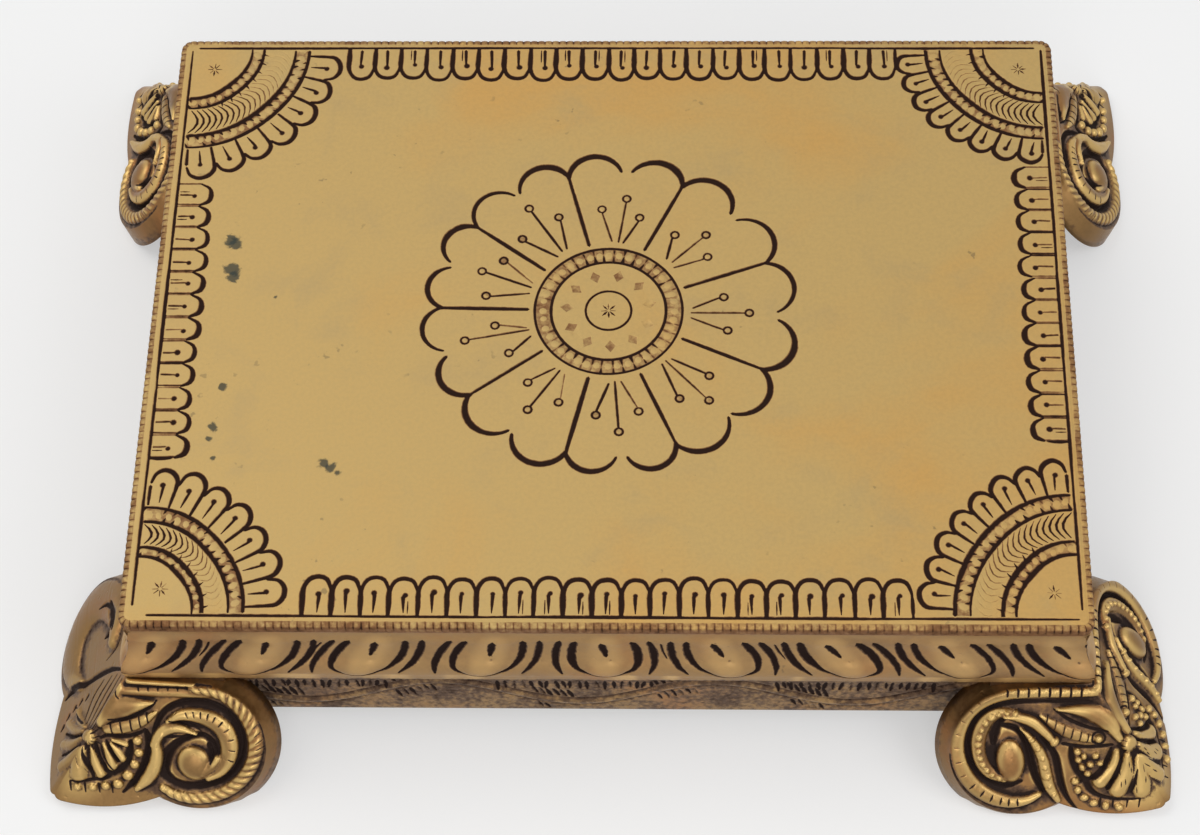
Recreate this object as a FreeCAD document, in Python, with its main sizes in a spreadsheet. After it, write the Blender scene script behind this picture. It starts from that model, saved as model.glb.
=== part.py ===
import FreeCAD, Part
import math
import os
from types import SimpleNamespace

import Sketcher
from FreeCAD import Placement, Rotation, Vector

# Low brass table: an engraved top plate with a beaded rim, four moulded aprons
# mitred round it, four cast scroll legs that splay from the corners, and the
# corner brackets and fasteners that hold them together from inside.
# Millimetres. +X runs along the length, +Y to the back and +Z up, and the
# origin is the middle of the table's box on the floor.

sizes = {
    # whole table
    "topLength": 250.0,
    "topDepth": 188.0,
    "tableHeight": 59.0,
    # top plate and the rim that hangs round its edge
    "plateThickness": 3.0,
    "rimDrop": 4.3,
    "rimWidth": 2.6,
    "plateCornerRadius": 2.5,
    "rimBevel": 0.7,
    # apron moulding, outwards from the frieze and downwards from the rim
    "shoulderInset": 1.0,
    "cavettoHeight": 5.7,
    "cavettoRadius": 6.5,
    "petalBandHeight": 17.2,
    "petalBandProud": 1.9,
    "petalHollowRadius": 16.0,
    "petalSwellRadius": 9.0,
    "petalEdgeHeight": 1.6,
    "friezeHeight": 23.0,
    "friezeInset": 0.2,
    "apronWall": 4.8,
    "tongueGap": 0.3,
    # cast leg: the two splayed faces
    "legSplay": 39.0,
    "legWall": 5.5,
    "voluteInset": 17.7,
    "voluteDrop": 20.1,
    "voluteRadius": 18.5,
    "voluteDraft": 3.5,
    "notchAngle": 125.0,
    "toeDrop": 35.8,
    "toeSoleRadius": 40.0,
    "toeDraft": 2.2,
    # cast leg: the raised work on each face
    "scrollWidth": 4.2,
    "scrollRise": 1.3,
    "scrollStart": 0.8,
    "ridgeRadius": 11.6,
    "ridgeInnerRadius": 9.4,
    "ridgeRise": 1.8,
    "ridgeStartAngle": 150.0,
    "ridgeEndAngle": 105.0,
    "eyeRadius": 4.7,
    "eyeRise": 2.4,
    "eyeInset": 16.4,
    "eyeDrop": 24.6,
    "leafRise": 1.1,
    "leafGap": 1.4,
    "leafLength": 11.0,
    "leafRadius": 26.0,
    "knuckleDrop": 17.6,
    "shellRadius": 12.6,
    "shellRise": 1.5,
    # cast leg: the flange against the frieze and its screw bosses
    "flangeThickness": 1.6,
    "flangeLength": 24.0,
    "flangeShort": 1.0,
    "bossWidth": 7.0,
    "bossLength": 6.3,
    # inner corner bracket
    "bracketLeaf": 34.0,
    "bracketThickness": 2.5,
    "bracketShort": 1.5,
    "bracketBend": 1.5,
    # fasteners
    "screwRadius": 2.0,
    "screwHeadRadius": 4.0,
    "screwHeadHeight": 2.8,
    "screwClearance": 0.25,
    "threadClearance": 0.1,
    "screwEndGap": 0.5,
    "legScrewDrop": 10.0,
    "legScrewInset": 15.5,
    "legScrewBite": 4.6,
    "studRadius": 2.0,
    "studInset": 13.0,
    "studLength": 11.0,
    "washerWidth": 9.5,
    "washerThickness": 0.8,
    "nutRadius": 4.0,
    "nutHeight": 3.2,
    # how far every cut runs past what it cuts
    "overrun": 5.0,
}


# A size with its value and the expression that keeps it tied to the sheet.
class Size:
    def __init__(self, value, text):
        self.value = value
        self.text = text

    def joined(self, other, sign, value):
        text = other.text if isinstance(other, Size) else repr(other)
        return Size(value, "(" + self.text + " " + sign + " " + text + ")")

    def __add__(self, other):
        extra = other.value if isinstance(other, Size) else other
        return self.joined(other, "+", self.value + extra)

    def __sub__(self, other):
        return self.joined(other, "-", self.value - other.value)

    def __mul__(self, other):
        factor = other.value if isinstance(other, Size) else other
        return self.joined(other, "*", self.value * factor)

    def __truediv__(self, other):
        factor = other.value if isinstance(other, Size) else other
        return self.joined(other, "/", self.value / factor)

    def __neg__(self):
        return Size(-self.value, "(-1 * " + self.text + ")")


def sine(angle):
    return Size(math.sin(math.radians(angle.value)), "sin(" + angle.text + ")")


def cosine(angle):
    return Size(math.cos(math.radians(angle.value)), "cos(" + angle.text + ")")


def squareRoot(size):
    return Size(math.sqrt(size.value), "sqrt(" + size.text + ")")


doc = FreeCAD.newDocument("LowTable")
sheet = doc.addObject("Spreadsheet::Sheet", "Sizes")
for row, (name, value) in enumerate(sizes.items(), start=1):
    sheet.set("A" + str(row), name)
    sheet.set("B" + str(row), repr(value))
    sheet.setAlias("B" + str(row), name)
doc.recompute()

d = SimpleNamespace(**{name: Size(value, "Sizes." + name) for name, value in sizes.items()})
nodes = []
zero = Size(0.0, "0")
# Two levels closer than this are the same level.
hair = 1e-6

# Levels above the floor and places that several pieces share.
plateUnderside = d.tableHeight - d.plateThickness
rimUnderside = d.tableHeight - d.rimDrop
ledgeLevel = rimUnderside - d.cavettoHeight - d.petalBandHeight
apronUnderside = ledgeLevel - d.friezeHeight
apronInside = d.friezeInset + d.apronWall
cornerX = d.topLength / 2 + d.petalBandProud
cornerY = d.topDepth / 2 + d.petalBandProud
# From the moulding's corner inwards, to the frieze and to the apron's inner face.
friezeBack = d.petalBandProud + d.friezeInset
wallBack = d.petalBandProud + apronInside


def bind(thing, prop, size):
    thing.setExpression(prop, size.text)


def newBody(name):
    body = doc.addObject("PartDesign::Body", name)
    body.Label = name
    return body


def originPlane(body, role):
    return [feature for feature in body.Origin.OriginFeatures if feature.Role == role][0]


# A sketch on one of the body's own planes, lifted along that plane's normal.
def newSketch(body, name, role, lift=None):
    sketch = body.newObject("Sketcher::SketchObject", name)
    sketch.AttachmentSupport = [(originPlane(body, role), "")]
    sketch.MapMode = "FlatFace"
    if lift is not None:
        sketch.AttachmentOffset = Placement(Vector(0, 0, lift.value), Rotation())
        bind(sketch, "AttachmentOffset.Base.z", lift)
    return sketch


# A sketch on the splayed face of a leg, or sunk square below it.
def faceSketch(body, name, depth=zero):
    sketch = body.newObject("Sketcher::SketchObject", name)
    sketch.AttachmentSupport = [(originPlane(body, "XZ_Plane"), "")]
    sketch.MapMode = "FlatFace"
    across = -(depth * sine(d.legSplay))
    inward = depth * cosine(d.legSplay)
    turn = Rotation(Vector(1, 0, 0), d.legSplay.value)
    sketch.AttachmentOffset = Placement(Vector(0, across.value, inward.value), turn)
    bind(sketch, "AttachmentOffset.Base.y", across)
    bind(sketch, "AttachmentOffset.Base.z", inward)
    bind(sketch, "AttachmentOffset.Rotation.Angle", d.legSplay)
    return sketch


# Sets a sketch point by its two distances from the sketch's origin.
def pinPoint(sketch, geometry, place, point):
    for kind, size in (("DistanceX", point[0]), ("DistanceY", point[1])):
        index = sketch.addConstraint(
            Sketcher.Constraint(kind, -1, 1, geometry, place, size.value))
        bind(sketch, "Constraints[" + str(index) + "]", size)


# Draws one closed outline. Each corner is a point, and a corner with a third
# entry is reached by an arc: (radius, turn, long), turn 1 for anticlockwise.
def outline(sketch, corners):
    first = sketch.GeometryCount
    count = len(corners)
    for index, corner in enumerate(corners):
        start = corners[index - 1]
        a = Vector(start[0].value, start[1].value, 0)
        b = Vector(corner[0].value, corner[1].value, 0)
        if len(corner) == 2:
            sketch.addGeometry(Part.LineSegment(a, b), False)
            continue
        radius, turn, isLong = corner[2]
        half = (b - a).Length / 2
        toCentre = math.sqrt(max(radius.value ** 2 - half ** 2, 0))
        side = Vector(-(b - a).y, (b - a).x, 0).normalize()
        flip = -turn if isLong else turn
        centre = (a + b) / 2 + side * (toCentre * flip)
        low, high = (a, b) if turn == 1 else (b, a)
        startAngle = math.atan2(low.y - centre.y, low.x - centre.x)
        endAngle = math.atan2(high.y - centre.y, high.x - centre.x)
        if endAngle < startAngle:
            endAngle += 2 * math.pi
        circle = Part.Circle(centre, Vector(0, 0, 1), radius.value)
        sketch.addGeometry(Part.ArcOfCircle(circle, startAngle, endAngle), False)
    # The end of an arc that runs clockwise is its start in the sketch.
    tail = [1 if len(c) == 3 and c[2][1] == -1 else 2 for c in corners]
    head = [3 - place for place in tail]
    for index in range(count):
        following = (index + 1) % count
        sketch.addConstraint(Sketcher.Constraint(
            "Coincident", first + index, tail[index], first + following, head[following]))
        pinPoint(sketch, first + index, tail[index], corners[index])
        if len(corners[index]) == 3:
            radius = corners[index][2][0]
            place = sketch.addConstraint(
                Sketcher.Constraint("Radius", first + index, radius.value))
            bind(sketch, "Constraints[" + str(place) + "]", radius)


def rectangle(sketch, lowX, lowY, highX, highY):
    outline(sketch, [(lowX, lowY), (highX, lowY), (highX, highY), (lowX, highY)])


def circle(sketch, x, y, radius):
    ring = Part.Circle(Vector(x.value, y.value, 0), Vector(0, 0, 1), radius.value)
    index = sketch.addGeometry(ring, False)
    pinPoint(sketch, index, 3, (x, y))
    place = sketch.addConstraint(Sketcher.Constraint("Radius", index, radius.value))
    bind(sketch, "Constraints[" + str(place) + "]", radius)


def pad(body, name, sketch, length, back=False, both=False):
    feature = body.newObject("PartDesign::Pad", name)
    feature.Profile = sketch
    feature.Length = length.value
    bind(feature, "Length", length)
    feature.Reversed = back
    feature.Midplane = both
    return feature


def pocket(body, name, sketch, length, back=False):
    feature = body.newObject("PartDesign::Pocket", name)
    feature.Profile = sketch
    feature.Length = length.value
    bind(feature, "Length", length)
    feature.Reversed = back
    return feature


# The top: a flat plate whose rim hangs below it all round.
def makeTopPlate():
    body = newBody("top_plate")

    def frameOutline(sketch, inset, radius):
        x = d.topLength / 2 - inset
        y = d.topDepth / 2 - inset
        outline(sketch, [
            (x - radius, -y), (x, -y + radius, (radius, 1, False)),
            (x, y - radius), (x - radius, y, (radius, 1, False)),
            (-x + radius, y), (-x, y - radius, (radius, 1, False)),
            (-x, -y + radius), (-x + radius, -y, (radius, 1, False))])

    plateSketch = newSketch(body, "PlateOutline", "XY_Plane", plateUnderside)
    frameOutline(plateSketch, zero, d.plateCornerRadius)
    pad(body, "Plate", plateSketch, d.plateThickness)
    rimSketch = newSketch(body, "RimOutline", "XY_Plane", rimUnderside)
    frameOutline(rimSketch, zero, d.plateCornerRadius)
    insideX = d.topLength / 2 - d.rimWidth
    insideY = d.topDepth / 2 - d.rimWidth
    rectangle(rimSketch, -insideX, -insideY, insideX, insideY)
    rim = pad(body, "Rim", rimSketch, d.rimDrop - d.plateThickness)
    doc.recompute()
    # Both outer edges of the rim are bevelled, all the way round.
    levels = (rimUnderside.value, d.tableHeight.value)
    halfX = d.topLength.value / 2
    halfY = d.topDepth.value / 2
    bevelled = []
    for index, edge in enumerate(rim.Shape.Edges, start=1):
        box = edge.BoundBox
        level = any(abs(box.ZMin - z) + abs(box.ZMax - z) < hair for z in levels)
        beyondX = max(abs(box.XMin), abs(box.XMax)) > halfX - d.rimWidth.value + hair
        beyondY = max(abs(box.YMin), abs(box.YMax)) > halfY - d.rimWidth.value + hair
        if level and (beyondX or beyondY):
            bevelled.append("Edge" + str(index))
    bevel = body.newObject("PartDesign::Chamfer", "RimBevel")
    bevel.Base = (rim, bevelled)
    bevel.Size = d.rimBevel.value
    bind(bevel, "Size", d.rimBevel)
    nodes.append(body)


# Screw places along an apron, counted from its middle.
def legScrewPlaces(half):
    reach = half + d.petalBandProud - d.legScrewInset - friezeBack
    return [reach, -reach]


# One apron, moulded across its section and mitred at both ends. Its body has
# +Y outwards, with Y zero at the face of the rim.
def makeApron(name, length, depth, turn):
    body = newBody(name)
    half = length / 2
    profile = newSketch(body, "Moulding", "YZ_Plane")
    tongueFace = -(d.rimWidth + d.tongueGap)
    bandTop = rimUnderside - d.cavettoHeight
    bandFoot = ledgeLevel + d.petalEdgeHeight
    middle = (bandTop + bandFoot) / 2
    swellStart = (d.petalBandProud - d.shoulderInset) / 2
    outline(profile, [
        (-apronInside, plateUnderside),
        (-apronInside, apronUnderside),
        (-d.friezeInset, apronUnderside),
        (-d.friezeInset, ledgeLevel),
        (d.petalBandProud, ledgeLevel),
        (d.petalBandProud, bandFoot),
        (swellStart, middle, (d.petalSwellRadius, 1, False)),
        (-d.shoulderInset, bandTop, (d.petalHollowRadius, -1, False)),
        (-d.shoulderInset, rimUnderside, (d.cavettoRadius, -1, False)),
        (tongueFace, rimUnderside),
        (tongueFace, plateUnderside)])
    pad(body, "Rail", profile, length + d.petalBandProud * 2, both=True)
    mitre = newSketch(body, "MitreOutline", "XY_Plane")
    inner = -(apronInside + d.overrun)
    outer = d.petalBandProud + d.overrun
    for side in (1, -1):
        wedge = [(half + inner, inner), (half + outer + d.overrun, inner),
                 (half + outer + d.overrun, outer), (half + outer, outer)]
        outline(mitre, [(x * side, y) for x, y in wedge])
    pocket(body, "Mitres", mitre, d.tableHeight, back=True)
    legHoles = newSketch(body, "LegScrewOutline", "XZ_Plane", apronInside + d.overrun)
    for x in legScrewPlaces(half):
        circle(legHoles, x, ledgeLevel - d.legScrewDrop, d.screwRadius + d.screwClearance)
    pocket(body, "LegScrewHoles", legHoles, apronInside + d.overrun * 2)
    body.Placement = Placement(Vector(0, 0, 0), Rotation(Vector(0, 0, 1), turn))
    for axis, factor in (("x", -math.sin(math.radians(turn))), ("y", math.cos(math.radians(turn)))):
        bind(body, "Placement.Base." + axis, depth / 2 * round(factor))
    nodes.append(body)


corners = {
    "back_right": (1, 1, 0),
    "back_left": (-1, 1, 90),
    "front_left": (-1, -1, 180),
    "front_right": (1, -1, 270),
}


# Stands a corner piece, drawn once for the back right corner, at all four corners.
def standAtCorners(pattern, kind):
    for corner, (signX, signY, turn) in corners.items():
        piece = doc.addObject("Part::Compound", corner + "_" + kind)
        piece.Label = corner + "_" + kind
        piece.Links = [pattern]
        piece.Placement = Placement(Vector(0, 0, 0), Rotation(Vector(0, 0, 1), turn))
        bind(piece, "Placement.Base.x", cornerX * signX)
        bind(piece, "Placement.Base.y", cornerY * signY)
        bind(piece, "Placement.Base.z", ledgeLevel)
        nodes.append(piece)


# A point of a leg's face: inset towards the middle of the table, drop down the slope.
def onFace(inset, drop):
    return (-inset, -drop)


# A point at a radius and an angle from the volute's centre: the angle grows from
# the side nearest the middle of the table, over the underside.
def onVolute(radius, angle):
    inset = d.voluteInset + radius * cosine(angle)
    drop = d.voluteDrop + radius * sine(angle)
    return onFace(inset, drop)


# Inset of the corner's sloping edge at a drop down the face. Raised work runs on
# past that edge, as far as its own rise needs to meet the work of the other face.
def arrisInset(drop, rise=zero):
    return -(drop * sine(d.legSplay) + rise * cosine(d.legSplay))


# The outline of one face of a leg: along the top, round the volute, over the
# notch, along the sole of the toe and back up the corner's edge.
def faceOutline(sketch, spread, toeSpread):
    radius = d.voluteRadius + spread
    toe = onFace(arrisInset(d.toeDrop + toeSpread), d.toeDrop + toeSpread)
    outline(sketch, [
        onFace(zero, zero),
        onFace(d.voluteInset, d.voluteDrop - radius),
        onVolute(radius, d.notchAngle) + ((radius, 1, True),),
        toe + ((d.toeSoleRadius, 1, False),)])


# A cast leg: two splayed faces joined at the corner, each with its scroll,
# ridge, eye, leaf and shell, hollow behind, with a flange against the aprons.
def makeLegs():
    body = newBody("leg_pattern")
    front = faceSketch(body, "FaceOutline")
    faceOutline(front, zero, zero)
    back = faceSketch(body, "FaceBackOutline", d.legWall)
    faceOutline(back, d.voluteDraft, d.toeDraft)
    wall = body.newObject("PartDesign::AdditiveLoft", "Face")
    wall.Profile = front
    wall.Sections = [back]
    wall.Ruled = True
    raised = [wall]

    scroll = faceSketch(body, "ScrollOutline")
    inner = d.voluteRadius - d.scrollWidth
    topInner = d.voluteDrop - inner
    outline(scroll, [
        onFace(arrisInset(d.scrollStart, d.scrollRise), d.scrollStart),
        onFace(d.voluteInset, d.voluteDrop - d.voluteRadius),
        onVolute(d.voluteRadius, d.notchAngle) + ((d.voluteRadius, 1, True),),
        onVolute(inner, d.notchAngle),
        onFace(d.voluteInset, topInner) + ((inner, -1, True),),
        onFace(arrisInset(topInner, d.scrollRise), topInner)])
    raised.append(pad(body, "Scroll", scroll, d.scrollRise, back=True))

    ridge = faceSketch(body, "RidgeOutline")
    outline(ridge, [
        onVolute(d.ridgeRadius, d.ridgeEndAngle) + ((d.ridgeRadius, 1, True),),
        onVolute(d.ridgeRadius, -d.ridgeStartAngle) + ((d.ridgeInnerRadius, -1, True),)])
    raised.append(pad(body, "Ridge", ridge, d.ridgeRise, back=True))

    eye = faceSketch(body, "EyeOutline")
    circle(eye, -d.eyeInset, -d.eyeDrop, d.eyeRadius)
    raised.append(pad(body, "Eye", eye, d.eyeRise, back=True))

    leaf = faceSketch(body, "LeafOutline")
    leafTop = topInner + d.leafGap
    outline(leaf, [
        onFace(arrisInset(leafTop, d.leafRise), leafTop),
        onFace(d.leafLength, leafTop),
        onFace(arrisInset(d.knuckleDrop, d.leafRise), d.knuckleDrop)
        + ((d.leafRadius, 1, False),)])
    raised.append(pad(body, "Leaf", leaf, d.leafRise, back=True))

    shell = faceSketch(body, "ShellOutline")
    knuckle = arrisInset(d.knuckleDrop, d.shellRise)
    slant = squareRoot(sine(d.legSplay) * sine(d.legSplay) + 1)
    reach = d.shellRadius / slant
    outline(shell, [
        onFace(knuckle, d.knuckleDrop),
        onFace(knuckle + d.shellRadius, d.knuckleDrop),
        onFace(knuckle - reach * sine(d.legSplay), d.knuckleDrop + reach)
        + ((d.shellRadius, 1, False),)])
    raised.append(pad(body, "Shell", shell, d.shellRise, back=True))

    # The flange is an angle that lies flat on the two friezes.
    flange = newSketch(body, "FlangeOutline", "XY_Plane")
    far = -(friezeBack + d.flangeLength)
    face = d.flangeThickness - friezeBack
    outline(flange, [
        (far, -friezeBack), (-friezeBack, -friezeBack), (-friezeBack, far),
        (face, far), (face, face), (far, face)])
    pad(body, "Flange", flange, d.friezeHeight - d.flangeShort, back=True)
    screwPlace = -(friezeBack + d.legScrewInset)
    boss = newSketch(body, "BossOutline", "XZ_Plane", friezeBack - d.flangeThickness / 2)
    halfBoss = d.bossWidth / 2
    rectangle(boss, screwPlace - halfBoss, -d.legScrewDrop - halfBoss,
              screwPlace + halfBoss, halfBoss - d.legScrewDrop)
    column = pad(body, "Boss", boss, d.bossLength - d.flangeThickness / 2, back=True)
    column.Refine = False
    raised.append(column)

    # The second face is the first, mirrored in the upright plane of the corner.
    mirror = body.newObject("PartDesign::Plane", "CornerPlane")
    mirror.AttachmentSupport = [(originPlane(body, "XZ_Plane"), "")]
    mirror.MapMode = "FlatFace"
    mirror.AttachmentOffset = Placement(Vector(0, 0, 0), Rotation(Vector(0, 1, 0), 45))
    both = body.newObject("PartDesign::Mirrored", "BothFaces")
    both.Originals = raised
    both.MirrorPlane = (mirror, [""])
    body.Tip = both

    # The frame's corner is cut out of the leg, and the sole is ground flat.
    frame = newSketch(body, "FrameOutline", "XY_Plane", d.overrun)
    away = -(d.voluteInset + d.voluteRadius + d.voluteDraft + d.overrun)
    rectangle(frame, away, away, -friezeBack, -friezeBack)
    pocket(body, "FrameCorner", frame, d.overrun + d.friezeHeight)
    ground = newSketch(body, "GroundOutline", "XY_Plane", -ledgeLevel)
    out = d.toeDrop + d.overrun
    rectangle(ground, away, away, out, out)
    pocket(body, "GroundSole", ground, d.toeDrop)
    above = newSketch(body, "LedgeOutline", "XY_Plane")
    rectangle(above, away, away, out, out)
    pocket(body, "UnderLedge", above, d.overrun, back=True)

    # Blind threaded holes for the screws that come through the frieze.
    across = newSketch(body, "ScrewOutlineAcross", "XZ_Plane", friezeBack + d.overrun)
    along = newSketch(body, "ScrewOutlineAlong", "YZ_Plane", -(friezeBack + d.overrun))
    for sketch in (across, along):
        circle(sketch, screwPlace, -d.legScrewDrop, d.screwRadius + d.threadClearance)
    bite = d.overrun + d.legScrewBite + d.screwEndGap
    pocket(body, "ScrewHolesAcross", across, bite)
    pocket(body, "ScrewHolesAlong", along, bite, back=True)
    standAtCorners(body, "leg")


# An inner corner bracket: an angle against the two aprons, with a web on top
# that the top plate's stud passes through.
def makeBrackets():
    body = newBody("bracket_pattern")
    top = plateUnderside - ledgeLevel
    foot = -(d.friezeHeight - d.bracketShort)
    far = -(wallBack + d.bracketLeaf)
    face = -(wallBack + d.bracketThickness)
    angle = newSketch(body, "AngleOutline", "XY_Plane", foot)
    outline(angle, [
        (far, -wallBack), (far, face),
        (face - d.bracketBend, face), (face, face - d.bracketBend),
        (face, far), (-wallBack, far), (-wallBack, -wallBack)])
    pad(body, "Angle", angle, top - foot)
    web = newSketch(body, "WebOutline", "XY_Plane", top)
    outline(web, [(far, -wallBack), (far, face), (face, far), (-wallBack, far),
                  (-wallBack, -wallBack)])
    pad(body, "Web", web, d.bracketThickness, back=True)
    stud = newSketch(body, "StudOutline", "XY_Plane", top + d.overrun)
    place = -(wallBack + d.studInset)
    circle(stud, place, place, d.studRadius + d.screwClearance)
    pocket(body, "StudHole", stud, d.overrun * 2 + d.bracketThickness)
    across = newSketch(body, "ScrewOutlineAcross", "XZ_Plane", wallBack + d.bracketLeaf)
    along = newSketch(body, "ScrewOutlineAlong", "YZ_Plane", -(wallBack + d.bracketLeaf))
    radius = d.screwRadius + d.screwClearance
    for sketch in (across, along):
        circle(sketch, -(friezeBack + d.legScrewInset), -d.legScrewDrop, radius)
    pocket(body, "ScrewHoleAcross", across, wallBack + d.bracketLeaf + d.overrun)
    pocket(body, "ScrewHoleAlong", along, wallBack + d.bracketLeaf + d.overrun, back=True)
    standAtCorners(body, "bracket")


# A hexagonal prism that stands on a level, as wide across its corners as two radii.
def hexagon(radius, height, level):
    ring = [Vector(radius * math.cos(step * math.pi / 3),
                   radius * math.sin(step * math.pi / 3), level) for step in range(7)]
    return Part.Face(Part.makePolygon(ring)).extrude(Vector(0, 0, height))


# A hexagon-head screw whose head seats at zero and whose shank runs up +Z.
def screwShape(bite):
    headHeight = d.screwHeadHeight.value
    head = hexagon(d.screwHeadRadius.value, headHeight, -headHeight)
    return head.fuse(Part.makeCylinder(d.screwRadius.value, bite)).removeSplitter()


# A group of like solids, one for each place in a list of placements.
def group(name, shape, places):
    node = doc.addObject("Part::Feature", name)
    node.Label = name
    copies = []
    for place in places:
        copy = shape.copy()
        copy.Placement = place.multiply(copy.Placement)
        copies.append(copy)
    node.Shape = Part.makeCompound(copies)
    nodes.append(node)


# The turn that points a screw's shank outwards through an apron.
def outwards(angle):
    return Rotation(Vector(0, 0, 1), angle).multiply(Rotation(Vector(1, 0, 0), -90))


def aprons():
    length = d.topLength
    depth = d.topDepth
    return [(length, depth, 0), (depth, length, 90), (length, depth, 180), (depth, length, 270)]


# Placements of the screws along all four aprons, heads on the brackets' leaves.
def screwPlacements():
    found = []
    level = (ledgeLevel - d.legScrewDrop).value
    for length, depth, turn in aprons():
        seat = (depth / 2 - apronInside - d.bracketThickness).value
        for x in legScrewPlaces(length / 2):
            spot = Rotation(Vector(0, 0, 1), turn).multVec(Vector(x.value, seat, level))
            found.append(Placement(spot, outwards(turn)))
    return found


def makeFasteners():
    bite = d.bracketThickness + d.apronWall + d.legScrewBite
    group("leg_screws", screwShape(bite.value), screwPlacements())

    inset = (apronInside + d.studInset).value
    x = d.topLength.value / 2 - inset
    y = d.topDepth.value / 2 - inset
    spots = [(x, y), (-x, y), (-x, -y), (x, -y)]
    level = plateUnderside.value

    def hung(drop):
        return [Placement(Vector(px, py, level - drop), Rotation()) for px, py in spots]

    bore = d.studRadius.value + d.screwClearance.value
    stud = Part.makeCylinder(d.studRadius.value, d.studLength.value)
    group("top_studs", stud, hung(d.studLength.value))
    washerDrop = d.bracketThickness.value + d.washerThickness.value
    width = d.washerWidth.value
    washer = Part.makeBox(width, width, d.washerThickness.value, Vector(-width / 2, -width / 2, 0))
    washer = washer.cut(Part.makeCylinder(bore, d.washerThickness.value))
    group("stud_washers", washer, hung(washerDrop))
    tapped = d.studRadius.value + d.threadClearance.value
    nut = hexagon(d.nutRadius.value, d.nutHeight.value, 0)
    nut = nut.cut(Part.makeCylinder(tapped, d.nutHeight.value))
    group("stud_nuts", nut, hung(washerDrop + d.nutHeight.value))


makeTopPlate()
makeApron("back_apron", d.topLength, d.topDepth, 0)
makeApron("left_apron", d.topDepth, d.topLength, 90)
makeApron("front_apron", d.topLength, d.topDepth, 180)
makeApron("right_apron", d.topDepth, d.topLength, 270)
makeLegs()
makeBrackets()
makeFasteners()
doc.recompute()

for thing in doc.Objects:
    if "Invalid" in thing.State or "Error" in thing.State:
        raise RuntimeError(thing.Name + " did not build")

os.makedirs("parts", exist_ok=True)
for node in nodes:
    shape = node.Shape
    if shape.isNull() or not shape.isValid():
        raise RuntimeError(node.Label + " has no valid shape")
for node in nodes:
    node.Shape.exportStep("parts/" + node.Label + ".step")
    box = node.Shape.BoundBox
    corner = [round(v, 2) for v in (box.XMin, box.YMin, box.ZMin, box.XMax, box.YMax, box.ZMax)]
    print(node.Label, len(node.Shape.Solids), round(node.Shape.Volume), corner)
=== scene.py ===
import math
import random

import bpy
import numpy as np
from mathutils import Matrix, Vector
from mathutils.geometry import delaunay_2d_cdt


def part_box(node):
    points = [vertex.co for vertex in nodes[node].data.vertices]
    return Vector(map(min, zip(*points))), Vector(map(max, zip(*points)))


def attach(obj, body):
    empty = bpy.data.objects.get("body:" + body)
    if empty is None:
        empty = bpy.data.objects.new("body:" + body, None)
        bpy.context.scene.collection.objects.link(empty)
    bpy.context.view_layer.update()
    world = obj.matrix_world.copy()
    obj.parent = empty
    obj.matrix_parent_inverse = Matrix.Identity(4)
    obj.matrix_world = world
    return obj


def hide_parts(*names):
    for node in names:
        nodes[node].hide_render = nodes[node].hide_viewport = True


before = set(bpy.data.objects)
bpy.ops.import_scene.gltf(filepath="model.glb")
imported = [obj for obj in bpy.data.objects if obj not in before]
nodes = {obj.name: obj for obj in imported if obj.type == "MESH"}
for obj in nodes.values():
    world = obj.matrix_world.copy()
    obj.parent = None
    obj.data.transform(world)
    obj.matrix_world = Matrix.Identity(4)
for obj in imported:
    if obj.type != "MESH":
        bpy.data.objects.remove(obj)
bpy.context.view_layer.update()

# Low brass table: engraved top, chased aprons, four cast scroll legs.
# Drawing is done in millimetres and meshes are made in metres.
mm = 0.001
turn = 2 * math.pi
white = (1, 1, 1, 1)


# Shader helpers. A value is a number, a colour or the output of another node.

def newMaterial(name):
    material = bpy.data.materials.new(name)
    material.use_nodes = True
    material.node_tree.nodes.clear()
    return material, material.node_tree


def link(tree, source, target):
    tree.links.new(source, target)


def feed(tree, node, values):
    for label, value in values.items():
        if isinstance(value, (int, float, tuple)):
            node.inputs[label].default_value = value
        else:
            link(tree, value, node.inputs[label])
    return node


def newNode(tree, kind, values):
    return feed(tree, tree.nodes.new(kind), values)


def calc(tree, operation, a, b):
    node = newNode(tree, "ShaderNodeMath", {0: a, 1: b})
    node.operation = operation
    return node.outputs[0]


def product(tree, a, b):
    return calc(tree, "MULTIPLY", a, b)


def remap(tree, value, low, high, toLow=0.0, toHigh=1.0, smooth=True):
    node = newNode(tree, "ShaderNodeMapRange", {"Value": value, "From Min": low, "From Max": high,
                                                "To Min": toLow, "To Max": toHigh})
    node.interpolation_type = "SMOOTHSTEP" if smooth else "LINEAR"
    return node.outputs["Result"]


def noise(tree, where, scale, detail=3.0, rough=0.6, distortion=0.0):
    return newNode(tree, "ShaderNodeTexNoise", {
        "Vector": where, "Scale": scale, "Detail": detail, "Roughness": rough,
        "Distortion": distortion}).outputs["Fac"]


def blendColors(tree, share, a, b, mode="MIX"):
    node = tree.nodes.new("ShaderNodeMix")
    node.data_type = "RGBA"
    node.blend_type = mode
    return feed(tree, node, {0: share, 6: a, 7: b}).outputs[2]


def position(tree):
    return tree.nodes.new("ShaderNodeTexCoord").outputs["Object"]


def pointValue(tree, name):
    node = tree.nodes.new("ShaderNodeAttribute")
    node.attribute_name = name
    return node.outputs["Fac"]


# Stage: camera, pale floor, soft lamps.

cameraSet = {
    "place": (19.88, -415.25, 717.7),  # mm
    "pitch": 59.757,  # degrees down
    "yaw": -3.273,
    "roll": -2.652,
    "lens": 86.109,  # mm on a 36 mm sensor
}


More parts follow.
